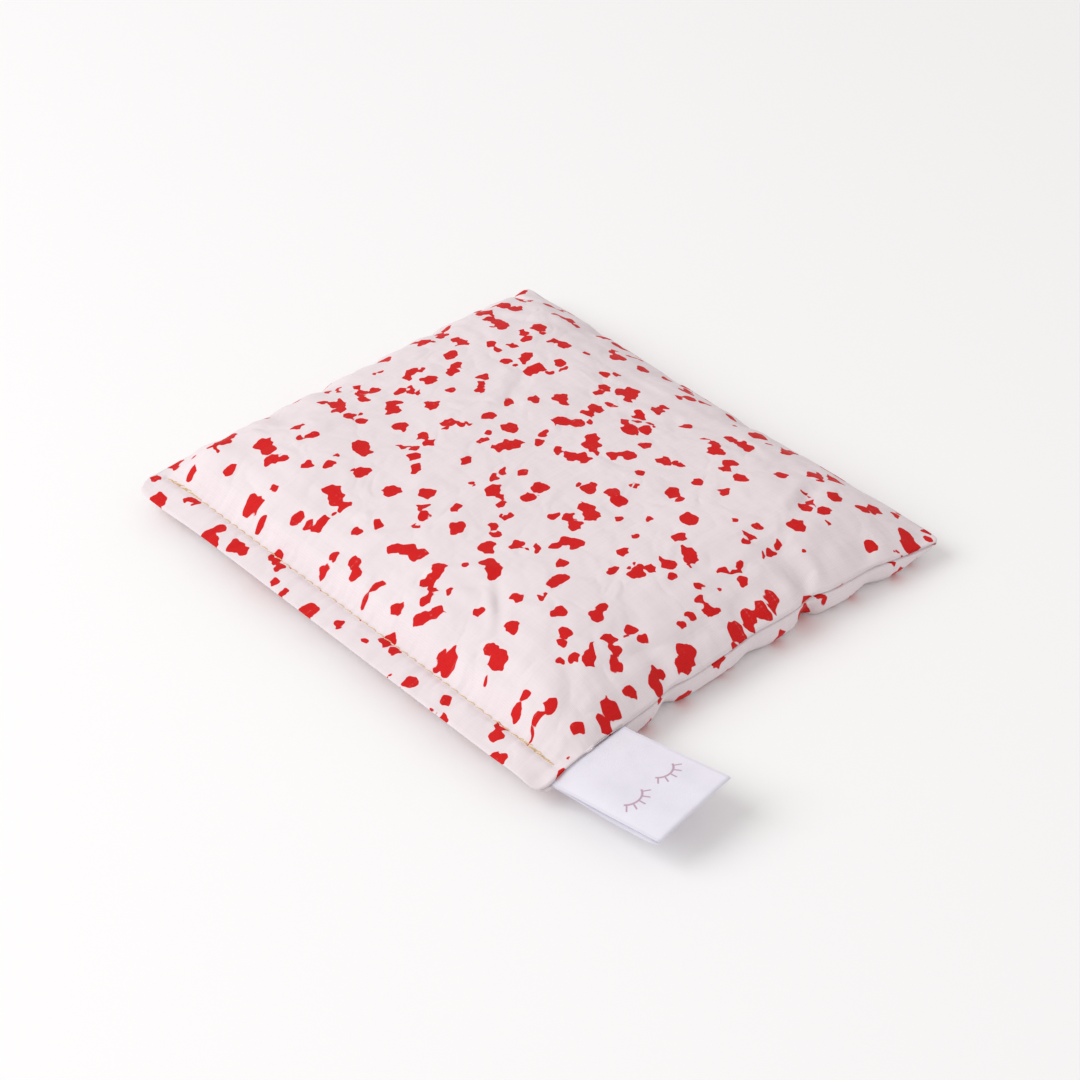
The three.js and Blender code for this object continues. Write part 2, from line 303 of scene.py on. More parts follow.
@dataclass(frozen=True)
class Plan:
    """The pouch's outline and heights."""

    half_width: float
    half_length: float
    seam: float
    crown: float
    hem: float
    cut_width: float = 125.0
    cut_length: float = 141.5
    front_pull: float = 3.6
    back_pull: float = 2.0
    far_pull: float = 3.0
    near_radius: float = 4.5
    far_radius: float = 2.6
    hem_droop: float = 1.1
    corner_droop: float = 1.9
    droop_end: float = 16.0
    corner_widths: tuple[float, float, float, float] = (5.5, 15.0, 16.0, 15.0)
    peak: float = 0.7
    peak_width: float = 4.0
    front_rise: float = 0.8
    front_rise_middle: float = 14.0
    front_rise_length: float = 26.0
    front_rise_width: float = 9.0
    pull_depth: float = 5.0
    side_allowance: float = 8.0
    closing_allowance: float = 12.0
    mouth_blur: float = 1.5
    mouth_depth: float = 12.0
    mouth_room: float = 0.24
    front_gathers: tuple[Gather, ...] = (
        Gather(-21.0, 1.0, 4.0),
        Gather(4.0, 0.45, 5.0),
        Gather(22.5, 1.3, 3.4),
        Gather(41.0, 0.5, 4.5),
    )
    back_gathers: tuple[Gather, ...] = (
        Gather(-41.0, 0.9, 3.4),
        Gather(-27.0, 0.5, 3.0),
        Gather(-11.0, 1.1, 3.8),
        Gather(5.0, 0.6, 3.2),
        Gather(24.0, 1.0, 3.6),
        Gather(42.0, 0.7, 3.4),
        Gather(54.5, 1.0, 2.6),
    )
    far_gathers: tuple[Gather, ...] = (
        Gather(-46.0, 0.6, 4.0),
        Gather(-14.0, 1.0, 4.5),
        Gather(12.0, 0.5, 4.0),
        Gather(38.0, 0.9, 4.0),
    )

    @classmethod
    def from_frame(cls) -> "Plan":
        """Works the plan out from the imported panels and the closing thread.

        Returns:
            The plan of the pouch.
        """
        upper_low, upper_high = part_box("top_panel")
        lower_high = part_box("bottom_panel")[1]
        thread_low, thread_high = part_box("closing_needle_thread")
        half_width = -upper_low.x / MM
        corner, side_pull = 4.0, 3.0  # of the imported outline, whose box ends where the corners begin
        corner_start = 1.0 - corner / half_width
        return cls(
            half_width=half_width,
            half_length=upper_high.y / MM + side_pull * (1.0 - corner_start**2),
            seam=(upper_low.z + lower_high.z) / 2.0 / MM,
            crown=upper_high.z / MM,
            hem=half_width + (thread_low.x + thread_high.x) / 2.0 / MM,
        )

    def flat(self, cut: np.ndarray) -> np.ndarray:
        """Shrinks places on the cut cloth to the outline's rectangle."""
        return cut * (2.0 * self.half_width / self.cut_width, 2.0 * self.half_length / self.cut_length)

    def past_hem(self, closing: np.ndarray) -> np.ndarray:
        """Climbs from 0 to 1 just past the hem, over distances from the closing side."""
        return ease(closing, self.hem, self.hem + 4.5)

    def limits(self) -> tuple[np.ndarray, np.ndarray]:
        """Gives the lowest and the highest place in the outline's rectangle."""
        corner = np.array((self.half_width, self.half_length))
        return -corner, corner

    def insets(self, flat: np.ndarray) -> tuple[np.ndarray, np.ndarray, np.ndarray, np.ndarray]:
        """Gives the distances from the closing, far, front and back sides."""
        x, y = flat[:, 0], flat[:, 1]
        return x + self.half_width, self.half_width - x, y + self.half_length, self.half_length - y

    def rounded(self, flat: np.ndarray) -> np.ndarray:
        """Rounds the corners of the rectangle.

        Args:
            flat: Places in the rectangle.

        Returns:
            The same places, with each corner's square carried to a quarter disc.
        """
        radius = np.where(flat[:, 0] < 0.0, self.near_radius, self.far_radius)
        past_x = np.maximum(np.abs(flat[:, 0]) - (self.half_width - radius), 0.0)
        past_y = np.maximum(np.abs(flat[:, 1]) - (self.half_length - radius), 0.0)
        longest = np.maximum(past_x, past_y)
        reach = np.maximum(np.hypot(past_x, past_y), 1e-9)
        shrink = 1.0 - longest / reach
        in_corner = (past_x > 0.0) & (past_y > 0.0)
        out = flat.copy()
        out[:, 0] -= np.where(in_corner, np.sign(flat[:, 0]) * past_x * shrink, 0.0)
        out[:, 1] -= np.where(in_corner, np.sign(flat[:, 1]) * past_y * shrink, 0.0)
        return out

    def lay(self, flat: np.ndarray) -> np.ndarray:
        """Carries places in the rectangle to their place in plan.

        Args:
            flat: Places in the outline's rectangle.

        Returns:
            Places with the sewn sides drawn in and gathered.
        """
        _, far, front, back = self.insets(flat)
        out = self.rounded(flat)
        across, along = out[:, 0] / self.half_width, out[:, 1] / self.half_length
        bow_across, bow_along = 1.0 - across**2, 1.0 - along**2
        drawn = out.copy()
        drawn[:, 0] -= self.far_pull * np.clip(across, 0.0, 1.0) * bow_along
        drawn[:, 1] += self.front_pull * np.clip(-along, 0.0, 1.0) * bow_across
        drawn[:, 1] -= self.back_pull * np.clip(along, 0.0, 1.0) * bow_across
        for gather in self.far_gathers:
            pucker = gather.draw * bump(out[:, 1] - gather.along, gather.width)
            drawn[:, 0] -= pucker * bump(far, self.pull_depth)
        for gather in self.front_gathers:
            pucker = gather.draw * bump(out[:, 0] - gather.along, gather.width)
            drawn[:, 1] += pucker * bump(front, self.pull_depth)
        for gather in self.back_gathers:
            pucker = gather.draw * bump(out[:, 0] - gather.along, gather.width)
            drawn[:, 1] -= pucker * bump(back, self.pull_depth)
        return drawn

    def plane(self, flat: np.ndarray) -> np.ndarray:
        """Gives the height of the seam's middle plane.

        Args:
            flat: Places in the outline's rectangle.

        Returns:
            The height at each place: the hem and the corners droop, and the front side is lifted.
        """
        closing, far, front, back = self.insets(flat)
        from_hem = 1.0 - ease(closing, -1.0, self.hem + 1.0)
        droop = self.hem_droop * from_hem * ease(np.minimum(front, back), 0.0, self.droop_end)
        corners = ((closing, front), (closing, back), (far, front), (far, back))
        corner = sum(
            bump(np.hypot(across, along), width)
            for (across, along), width in zip(corners, self.corner_widths)
        )
        peak = self.peak * bump(np.hypot(far, back), self.peak_width)
        lifted = self.front_rise * bump(front, self.front_rise_width)
        lifted = lifted * bump(flat[:, 0] - self.front_rise_middle, self.front_rise_length)
        return self.seam - droop - self.corner_droop * corner + peak + lifted

    def closing_share(self, flat: np.ndarray) -> np.ndarray:
        """Tells how far each place belongs to the folded hem, from 0 to 1."""
        return 1.0 - ease(flat[:, 0] + self.half_width, 1.0, self.hem)

    def opening(self, flat: np.ndarray) -> np.ndarray:
        """Tells where the front seam opens for the label.

        Args:
            flat: Places in the outline's rectangle.

        Returns:
            How far it opens at each place, from 0 to 1.
        """
        low, high = (corner.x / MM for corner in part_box("label_seam_end"))
        from_low = ease(flat[:, 0], low - self.mouth_blur, low + self.mouth_blur)
        to_high = 1.0 - ease(flat[:, 0], high - self.mouth_blur, high + self.mouth_blur)
        return from_low * to_high * bump(flat[:, 1] + self.half_length, self.mouth_depth)


# ---------------------------------------------------------------- material helpers


class NodeTree:
    """Short calls for building a material's or a group's nodes."""

    def __init__(self, tree: bpy.types.NodeTree) -> None:
        """Starts on an existing tree.

        Args:
            tree: The tree that the nodes go into.
        """
        self.tree = tree

    def add(
        self, kind: str, inputs: dict[str | int, object] | None = None, **settings: object
    ) -> bpy.types.Node:
        """Adds one node.

        Args:
            kind: The node's type, without its ShaderNode prefix.
            inputs: What goes into its sockets, each a value or another node's socket.
            settings: Properties to set on the node.

        Returns:
            The new node.
        """
        node = self.tree.nodes.new("ShaderNode" + kind)
        for name, value in settings.items():
            setattr(node, name, value)
        for name, value in (inputs or {}).items():
            self.feed(node.inputs[name], value)
        return node

    def feed(self, socket: bpy.types.NodeSocket, value: object) -> None:
        """Links a socket into an input, or sets the input to a value.

        Args:
            socket: The input.
            value: Another node's socket, or a plain value.
        """
        if isinstance(value, bpy.types.NodeSocket):
            self.tree.links.new(value, socket)
        else:
            socket.default_value = value

    def sum(self, operation: str, *values: object) -> bpy.types.NodeSocket:
        """Adds a math node.

        Args:
            operation: The node's operation.
            values: What goes into it, in order.

        Returns:
            Its result.
        """
        node = self.add("Math", operation=operation)
        for socket, value in zip(node.inputs, values):
            self.feed(socket, value)
        return node.outputs[0]

    def vector_sum(self, operation: str, *values: object) -> bpy.types.NodeSocket:
        """Adds a vector math node.

        Args:
            operation: The node's operation.
            values: What goes into it, in order.

        Returns:
            Its vector.
        """
        node = self.add("VectorMath", operation=operation)
        for socket, value in zip(node.inputs, values):
            self.feed(socket, value)
        return node.outputs[0]

    def scaled(self, vector: object, by: float) -> bpy.types.NodeSocket:
        """Multiplies a vector by one number.

        Args:
            vector: The vector.
            by: The number.

        Returns:
            The longer or shorter vector.
        """
        node = self.add("VectorMath", operation="SCALE")
        self.feed(node.inputs[0], vector)
        node.inputs["Scale"].default_value = by
        return node.outputs[0]

    def split(self, vector: object) -> tuple[bpy.types.NodeSocket, bpy.types.NodeSocket]:
        """Gives a vector's X and Y."""
        node = self.add("SeparateXYZ", {0: vector})
        return node.outputs[0], node.outputs[1]

    def reach(self, x: object, y: object) -> bpy.types.NodeSocket:
        """Gives the distance of a place from the origin."""
        square = self.sum("ADD", self.sum("MULTIPLY", x, x), self.sum("MULTIPLY", y, y))
        return self.sum("SQRT", square)

    def noise(self, vector: object, scale: float, detail: float = 2.0) -> bpy.types.NodeSocket:
        """Gives a noise texture's value, from 0 to 1."""
        return self.add("TexNoise", {"Vector": vector, "Scale": scale, "Detail": detail}).outputs["Fac"]

    def ramp(
        self, value: object, low: float, high: float, to_low: float = 0.0, to_high: float = 1.0
    ) -> bpy.types.NodeSocket:
        """Carries a range of values to another, smoothly and without passing its ends.

        Args:
            value: The value to carry.
            low: Where its range starts.
            high: Where its range ends.
            to_low: The result at the start.
            to_high: The result at the end.

        Returns:
            The result.
        """
        inputs = {"Value": value, "From Min": low, "From Max": high, "To Min": to_low, "To Max": to_high}
        return self.add("MapRange", inputs, interpolation_type="SMOOTHSTEP").outputs[0]

    def mix(self, share: object, first: object, second: object) -> bpy.types.NodeSocket:
        """Mixes two colours.

        Args:
            share: How much of the second shows, from 0 to 1.
            first: The first colour.
            second: The second colour.

        Returns:
            The mixed colour.
        """
        node = self.add("Mix", data_type="RGBA")
        self.feed(node.inputs["Factor"], share)
        self.feed(node.inputs[6], first)
        self.feed(node.inputs[7], second)
        return node.outputs[2]

    def group(self, made: bpy.types.NodeTree, inputs: dict[str, object]) -> bpy.types.Node:
        """Places a node group.

        Args:
            made: The group's own tree.
            inputs: What goes into its named sockets.

        Returns:
            The group node.
        """
        node = self.tree.nodes.new("ShaderNodeGroup")
        node.node_tree = made
        for name, value in inputs.items():
            self.feed(node.inputs[name], value)
        return node


def new_group(
    name: str, inputs: dict[str, str], outputs: dict[str, str]
) -> tuple[NodeTree, bpy.types.Node, bpy.types.Node]:
    """Starts a shader node group.

    Args:
        name: The group's name.
        inputs: The kind of each named input.
        outputs: The kind of each named output.

    Returns:
        The helper for its tree, its input node and its output node.
    """
    tree = bpy.data.node_groups.new(name, "ShaderNodeTree")
    for socket, kind in inputs.items():
        tree.interface.new_socket(socket, in_out="INPUT", socket_type="NodeSocket" + kind)
    for socket, kind in outputs.items():
        tree.interface.new_socket(socket, in_out="OUTPUT", socket_type="NodeSocket" + kind)
    return NodeTree(tree), tree.nodes.new("NodeGroupInput"), tree.nodes.new("NodeGroupOutput")


def weave_group() -> bpy.types.NodeTree:
    """Makes the plain weave that the cotton and the ribbon share.

    Returns:
        A group that takes a place on the cloth in millimetres and the thread pitch, and gives the height
        of the threads, their tone, and how far each place is down between threads.
    """
    nodes, start, end = new_group(
        "Plain weave",
        {"Place": "Vector", "Warp Pitch": "Float", "Weft Pitch": "Float"},
        {"Height": "Float", "Tone": "Float", "Gap": "Float"},
    )
    x, y = nodes.split(start.outputs["Place"])
    across = nodes.sum("DIVIDE", x, start.outputs["Warp Pitch"])
    along = nodes.sum("DIVIDE", y, start.outputs["Weft Pitch"])
    across_angle = nodes.sum("MULTIPLY", across, math.pi)
    along_angle = nodes.sum("MULTIPLY", along, math.pi)
    across_wave = nodes.sum("COSINE", across_angle)
    along_wave = nodes.sum("COSINE", along_angle)
    over = nodes.sum("MULTIPLY", across_wave, along_wave)
    warp_up = nodes.sum("MULTIPLY_ADD", over, 0.3, 0.7)
    warp = nodes.sum("MULTIPLY", nodes.sum("ABSOLUTE", across_wave), warp_up)
    weft_up = nodes.sum("MULTIPLY_ADD", over, -0.3, 0.7)
    weft = nodes.sum("MULTIPLY", nodes.sum("ABSOLUTE", along_wave), weft_up)
    height = nodes.sum("MAXIMUM", warp, weft)
    slow = 0.02  # a thread keeps its tone for far along its own length
    warp_place = nodes.add("CombineXYZ", {0: nodes.sum("ROUND", across), 1: nodes.sum("MULTIPLY", y, slow)})
    weft_place = nodes.add("CombineXYZ", {0: nodes.sum("MULTIPLY", x, slow), 1: nodes.sum("ROUND", along)})
    warp_tone = nodes.noise(warp_place.outputs[0], 0.73, 1.0)
    weft_tone = nodes.noise(weft_place.outputs[0], 0.71, 1.0)
    tone = nodes.sum("MULTIPLY_ADD", nodes.sum("ADD", warp_tone, weft_tone), 0.5, 0.0)
    uneven = nodes.sum("MULTIPLY_ADD", tone, 0.6, 0.7)
    nodes.feed(end.inputs["Height"], nodes.sum("MULTIPLY", height, uneven))
    nodes.feed(end.inputs["Tone"], tone)
    nodes.feed(end.inputs["Gap"], nodes.ramp(height, 0.62, 0.2))
    return nodes.tree


def pebble_group() -> bpy.types.NodeTree:
    """Makes the printed pattern: short strings of one to three pebbles, scattered evenly.

    Returns:
        A group that takes a place on the cloth in millimetres, the strings' spacing, the pebbles'
        radius and how far their edges are off, and gives the ink's mask.
    """
    nodes, start, end = new_group(
        "Pebble print",
        {"Place": "Vector", "Spacing": "Float", "Radius": "Float", "Edge": "Float"},
        {"Ink": "Float"},
    )
    radius = start.outputs["Radius"]
    on_cloth = start.outputs["Place"]
    swell = nodes.add("TexNoise", {"Vector": on_cloth, "Scale": 0.33, "Detail": 1.0}, normalize=False)
    place = nodes.vector_sum("ADD", on_cloth, nodes.scaled(swell.outputs["Color"], 0.85))
    place = nodes.vector_sum("MULTIPLY", place, (1.0, 1.0, 0.0))
    frequency = nodes.sum("DIVIDE", 1.0, start.outputs["Spacing"])
    strings = nodes.add(
        "TexVoronoi", {"Vector": place, "Scale": frequency, "Randomness": 0.9}, voronoi_dimensions="2D"
    )
    pick = nodes.add("SeparateColor", {0: strings.outputs["Color"]})
    off = nodes.vector_sum("SUBTRACT", place, strings.outputs["Position"])
    x, y = nodes.split(off)
    turn = nodes.sum("MULTIPLY", pick.outputs[1], 2.0 * math.pi)
    step = nodes.sum("MULTIPLY", radius, nodes.sum("MULTIPLY_ADD", pick.outputs[0], 0.5, 1.45))
    shape = None
    far_off = 9.0  # the distance given to a pebble that its string doesn't have
    for number, least in enumerate((0.0, 0.42, 0.72)):
        share = nodes.sum("FRACT", nodes.sum("MULTIPLY", pick.outputs[2], 7.3 + 5.1 * number))
        size = nodes.sum("MULTIPLY", radius, nodes.sum("MULTIPLY_ADD", share, 0.62, 0.55))
        size = nodes.sum("MULTIPLY", size, nodes.sum("GREATER_THAN", pick.outputs[2], least))
        away = nodes.sum("SUBTRACT", nodes.reach(x, y), size)
        missing = nodes.sum("LESS_THAN", pick.outputs[2], least)
        away = nodes.sum("MULTIPLY_ADD", missing, far_off, away)
        shape = away if shape is None else nodes.sum("SMOOTH_MIN", shape, away, 1.1)
        x = nodes.sum("SUBTRACT", x, nodes.sum("MULTIPLY", step, nodes.sum("COSINE", turn)))
        y = nodes.sum("SUBTRACT", y, nodes.sum("MULTIPLY", step, nodes.sum("SINE", turn)))
        turn = nodes.sum("ADD", turn, nodes.sum("MULTIPLY_ADD", pick.outputs[0], 2.4, -1.2))
    facets = nodes.add("TexVoronoi", {"Vector": on_cloth, "Scale": 0.5}, voronoi_dimensions="2D")
    cornered = nodes.sum("MULTIPLY_ADD", facets.outputs["Distance"], 0.85, -0.36)
    reach = nodes.sum("ADD", cornered, start.outputs["Edge"])
    nodes.feed(end.inputs["Ink"], nodes.ramp(nodes.sum("SUBTRACT", reach, shape), -0.07, 0.07))
    return nodes.tree


@dataclass(frozen=True)
class SharedGroups:
    """The node groups that more than one finish uses."""

    weave: bpy.types.NodeTree
    pebbles: bpy.types.NodeTree


def start_material(name: str, **sockets: object) -> tuple[bpy.types.Material, NodeTree, bpy.types.Node]:
    """Starts a material on one Principled shader.

    Args:
        name: The material's name.
        sockets: Values set on the shader's own sockets, by name with underscores for spaces.

    Returns:
        The material, the helper for its nodes, and its shader.
    """
    material = bpy.data.materials.new(name)
    material.use_nodes = True
    nodes = NodeTree(material.node_tree)
    shader = material.node_tree.nodes["Principled BSDF"]
    for socket, value in sockets.items():
        shader.inputs[socket.replace("_", " ").title().replace("Ior", "IOR")].default_value = value
    return material, nodes, shader


def cloth_place(nodes: NodeTree, uv_map: str) -> bpy.types.NodeSocket:
    """Gives a place on the flat cloth in millimetres.

    Args:
        nodes: The material's nodes.
        uv_map: The UV map that holds the flat cloth.

    Returns:
        The place, as a vector socket.
    """
    uv = nodes.add("UVMap", uv_map=uv_map).outputs[0]
    return nodes.scaled(uv, UV_SPAN)


@dataclass(frozen=True)
class PrintedCotton:
    """Plain-woven white cotton, printed with red pebbles on its face."""

    groups: SharedGroups
    name: str
    cut_from: tuple[float, float, float]
    ground: Colour = (0.84, 0.757, 0.780, 1.0)
    # a darker pink grey: painted shade for soft patches and for the gaps between threads, and also the
    # threads' own uneven tone
    shade_and_thread_tone: Colour = (0.66, 0.57, 0.60, 1.0)
    ink: Colour = (0.67, 0.010, 0.010, 1.0)
    # the ink's own uneven depth, and painted shade in the gaps between threads
    deep_ink_and_gap_shade: Colour = (0.44, 0.006, 0.007, 1.0)
    pitch: float = 0.34
    string_spacing: float = 9.3
    pebble_radius: float = 1.85
    speck_spacing: float = 17.0
    speck_radius: float = 0.8
    speck_start: tuple[float, float, float] = (311.0, 87.0, 0.0)
    crumple: float = 0.48

    def make(self) -> bpy.types.Material:
        """Builds the material.

        Returns:
            The finished material.
        """
        material, nodes, shader = start_material(
            self.name, sheen_weight=0.06, sheen_roughness=0.4, specular_ior_level=0.2
        )
        place = nodes.vector_sum("ADD", cloth_place(nodes, "cut"), self.cut_from)
        weave = nodes.group(
            self.groups.weave, {"Place": place, "Warp Pitch": self.pitch, "Weft Pitch": 1.08 * self.pitch}
        )
        thread_edge = nodes.sum("MULTIPLY_ADD", weave.outputs["Height"], 0.05, -0.03)
        pebbles = nodes.group(
            self.groups.pebbles,
            {
                "Place": place,
                "Spacing": self.string_spacing,
                "Radius": self.pebble_radius,
                "Edge": thread_edge,
            },
        )
        beyond = nodes.vector_sum("ADD", place, self.speck_start)
        specks = nodes.group(
            self.groups.pebbles,
            {
                "Place": beyond,
                "Spacing": self.speck_spacing,
                "Radius": self.speck_radius,
                "Edge": thread_edge,
            },
        )
        printed = nodes.sum("MAXIMUM", pebbles.outputs["Ink"], specks.outputs["Ink"])
        # painted shade: soft broad patches darken the cloth toward the shade colour
        soft = nodes.noise(place, 0.06, 3.0)
        ground = nodes.mix(nodes.ramp(soft, 0.35, 0.75, 0.0, 0.12), self.ground, self.shade_and_thread_tone)
        ground = nodes.mix(nodes.ramp(weave.outputs["Tone"], 0.62, 0.30, 0.0, 0.16), ground, self.shade_and_thread_tone)
        # painted shade in the gaps between threads
        ground = nodes.mix(nodes.sum("MULTIPLY", weave.outputs["Gap"], 0.30), ground, self.shade_and_thread_tone)
        worn = nodes.noise(place, 1.9, 3.0)
        ink = nodes.mix(nodes.ramp(worn, 0.40, 0.75, 0.0, 0.35), self.ink, self.deep_ink_and_gap_shade)
        # painted shade: the ink is darker in the gaps between threads
        ink = nodes.mix(nodes.sum("MULTIPLY", weave.outputs["Gap"], 0.45), ink, self.deep_ink_and_gap_shade)
        ink = nodes.mix(nodes.ramp(weave.outputs["Tone"], 0.60, 0.78, 0.0, 0.14), ink, self.ground)
        nodes.feed(shader.inputs["Base Color"], nodes.mix(printed, ground, ink))
        dry = nodes.sum("MULTIPLY_ADD", weave.outputs["Height"], -0.10, 0.93)
        nodes.feed(shader.inputs["Roughness"], nodes.sum("MULTIPLY_ADD", printed, -0.07, dry))
        crumple = nodes.add(
            "TexNoise", {"Vector": place, "Scale": 0.085, "Detail": 2.0, "Distortion": 0.4}, normalize=False
        ).outputs["Fac"]
        folds = nodes.sum("SQRT", nodes.sum("MULTIPLY_ADD", crumple, crumple, 0.004))
        crumpled = nodes.sum("MULTIPLY", folds, self.crumple)
        height = nodes.sum("MULTIPLY_ADD", weave.outputs["Height"], 0.035, crumpled)
        relief = nodes.add("Bump", {"Strength": 1.0, "Distance": MM, "Height": height})
        nodes.feed(shader.inputs["Normal"], relief.outputs[0])
        return material


@dataclass(frozen=True)
class SewingThread:
    """Two-ply ecru sewing thread, read along a UV map in which one unit is a metre of thread."""

    light: Colour = (0.86, 0.62, 0.34, 1.0)
    dark: Colour = (0.40, 0.27, 0.12, 1.0)
    lay: float = 0.62

    def make(self) -> bpy.types.Material:
        """Builds the material.

        Returns:
            The finished material.
        """
        material, nodes, shader = start_material("ecru_thread", sheen_weight=0.3, specular_ior_level=0.4)
        uv = nodes.add("UVMap", uv_map="strand").outputs[0]
        along, around = nodes.split(uv)
        laid = nodes.sum("MULTIPLY", along, 1.0 / (self.lay * MM))
        turn = nodes.sum("ADD", laid, nodes.sum("MULTIPLY", around, 2.0))
        ply = nodes.sum("ABSOLUTE", nodes.sum("SINE", nodes.sum("MULTIPLY", turn, math.pi)))
        fuzz = nodes.noise(uv, 1400.0, 3.0)
        fuzzy = nodes.sum("MULTIPLY_ADD", fuzz, 0.5, 0.6)
        shade = nodes.sum("MULTIPLY", nodes.ramp(ply, 0.75, 0.15), fuzzy)
        nodes.feed(shader.inputs["Base Color"], nodes.mix(shade, self.light, self.dark))
        nodes.feed(shader.inputs["Roughness"], nodes.sum("MULTIPLY_ADD", ply, -0.2, 0.7))
        relief = nodes.add("Bump", {"Strength": 0.8, "Distance": 0.06 * MM, "Height": ply})
        nodes.feed(shader.inputs["Normal"], relief.outputs[0])
        return material


@dataclass(frozen=True)
class SatinRibbon:
    """White satin ribbon with two closed eyes printed on it in mauve."""

    groups: SharedGroups
    width: float
    fold: float
    white: Colour = (0.84, 0.82, 0.90, 1.0)
    shade: Colour = (0.62, 0.60, 0.70, 1.0)
    mauve: Colour = (0.42, 0.19, 0.30, 1.0)
    eye_gap: float = 4.9
    eye_radius: float = 3.1
    middle: float = 13.2
    line: float = 0.26
    lid_turn: float = 1.12
    lash_length: float = 1.9
    lash_start: float = 4.4
    lash_spread: float = 0.22

    def arc(self, nodes: NodeTree, x: object, y: object) -> bpy.types.NodeSocket:
        """Draws one closed eyelid with its lashes.

        Args:
            nodes: The material's nodes.
            x: Place across the ribbon, from the eye's middle.
            y: Place along the ribbon, from the eye's middle.

        Returns:
            A mask of the lines.
        """
        reach = nodes.reach(x, y)
        turn = nodes.sum("ARCTAN2", x, y)
        off_lid = nodes.sum("ABSOLUTE", nodes.sum("SUBTRACT", reach, self.eye_radius))
        in_lid = nodes.ramp(nodes.sum("ABSOLUTE", turn), self.lid_turn, 1.02)
        lid = nodes.sum("MULTIPLY", nodes.ramp(off_lid, 1.3 * self.line, 0.5 * self.line), in_lid)
        lash_turn = nodes.sum("PINGPONG", nodes.sum("ADD", turn, self.lash_start), self.lash_spread)
        off_lash = nodes.sum("MULTIPLY", lash_turn, reach)
        lash = nodes.ramp(off_lash, self.line, 0.4 * self.line)
        past_lid = nodes.ramp(reach, self.eye_radius, self.eye_radius + 0.1)
        short = nodes.ramp(reach, self.eye_radius + self.lash_length, self.eye_radius + 1.7)
        within = nodes.sum("MULTIPLY", short, in_lid)
        lashes = nodes.sum("MULTIPLY", nodes.sum("MULTIPLY", lash, past_lid), within)
        return nodes.sum("MAXIMUM", lid, lashes)

    def make(self) -> bpy.types.Material:
        """Builds the material.

        Returns:
            The finished material.
        """
        material, nodes, shader = start_material(
            "satin_ribbon", sheen_weight=0.35, sheen_roughness=0.3, specular_ior_level=0.5, anisotropic=0.5
        )
        place = cloth_place(nodes, "cut")
        weave = nodes.group(self.groups.weave, {"Place": place, "Warp Pitch": 0.16, "Weft Pitch": 0.42})
        x, y = nodes.split(place)
        across = nodes.sum("SUBTRACT", x, UV_SPAN / 2.0)
        from_seam = nodes.sum("SUBTRACT", y, UV_SPAN / 2.0)
        along = nodes.sum("SUBTRACT", from_seam, self.middle)
        eye = nodes.sum("SUBTRACT", nodes.sum("ABSOLUTE", across), self.eye_gap)
        drawn = self.arc(nodes, eye, along)
        soft = nodes.noise(place, 0.12, 2.0)
        white = nodes.mix(nodes.ramp(soft, 0.35, 0.75, 0.0, 0.22), self.white, self.shade)
        white = nodes.mix(nodes.sum("MULTIPLY", weave.outputs["Gap"], 0.30), white, self.shade)
        edge = self.width / 2.0
        selvedge = nodes.ramp(nodes.sum("ABSOLUTE", across), edge - 0.8, edge - 0.4, 0.0, 0.35)
        white = nodes.mix(selvedge, white, self.shade)
        from_fold = nodes.sum("ABSOLUTE", nodes.sum("SUBTRACT", from_seam, self.fold))
        white = nodes.mix(nodes.ramp(from_fold, 0.7, 0.2, 0.0, 0.6), white, self.shade)
        ink = nodes.sum("MULTIPLY", drawn, nodes.sum("MULTIPLY_ADD", weave.outputs["Height"], 0.3, 0.55))
        nodes.feed(shader.inputs["Base Color"], nodes.mix(ink, white, self.mauve))
        nodes.feed(shader.inputs["Roughness"], nodes.sum("MULTIPLY_ADD", weave.outputs["Tone"], 0.25, 0.34))
        height = nodes.sum("MULTIPLY_ADD", soft, 2.2, weave.outputs["Height"])
        relief = nodes.add("Bump", {"Strength": 0.7, "Distance": 0.05 * MM, "Height": height})
        nodes.feed(shader.inputs["Normal"], relief.outputs[0])
        return material


@dataclass(frozen=True)
class Grain:
    """Loose grain: each kernel has its own tone, and its husk is finely lined."""

    pale: Colour = (0.62, 0.40, 0.20, 1.0)
    brown: Colour = (0.26, 0.13, 0.05, 1.0)
    kernel: float = 3.6

    def make(self) -> bpy.types.Material:
        """Builds the material.

        Returns:
            The finished material.
        """
        material, nodes, shader = start_material("grain", specular_ior_level=0.35)
        place = nodes.add("TexCoord").outputs["Object"]
        size = 1.0 / (self.kernel * MM)
        cells = nodes.add("TexVoronoi", {"Vector": place, "Scale": size, "Randomness": 0.9})
        tone = nodes.add("SeparateColor", {0: cells.outputs["Color"]}).outputs[0]
        husk = nodes.noise(place, 1900.0, 4.0)
        colour = nodes.mix(tone, self.pale, self.brown)
        colour = nodes.mix(nodes.ramp(husk, 0.45, 0.7, 0.0, 0.4), colour, self.brown)
        # painted shade: each kernel darkens toward its edge, in the crevices between kernels
        colour = nodes.mix(nodes.ramp(cells.outputs["Distance"], 0.45, 0.8, 0.0, 0.8), colour, self.brown)
        nodes.feed(shader.inputs["Base Color"], colour)
        nodes.feed(shader.inputs["Roughness"], nodes.sum("MULTIPLY_ADD", husk, 0.3, 0.45))
        height = nodes.sum("MULTIPLY_ADD", husk, 0.15, nodes.ramp(cells.outputs["Distance"], 0.8, 0.1))
        relief = nodes.add("Bump", {"Strength": 0.8, "Distance": 0.5 * MM, "Height": height})
        nodes.feed(shader.inputs["Normal"], relief.outputs[0])
        return material


# ---------------------------------------------------------------- the pouch's two panels


@dataclass(frozen=True)
class Swell:
    """Broad, gentle swells that the grain makes in the cloth."""

    height: float
    size: float
    seed: float

    def relief(self, flat: np.ndarray) -> np.ndarray:
        """Gives the swells' height at each place in the outline's rectangle."""
        return self.height * mottle(flat, self.size, self.seed)


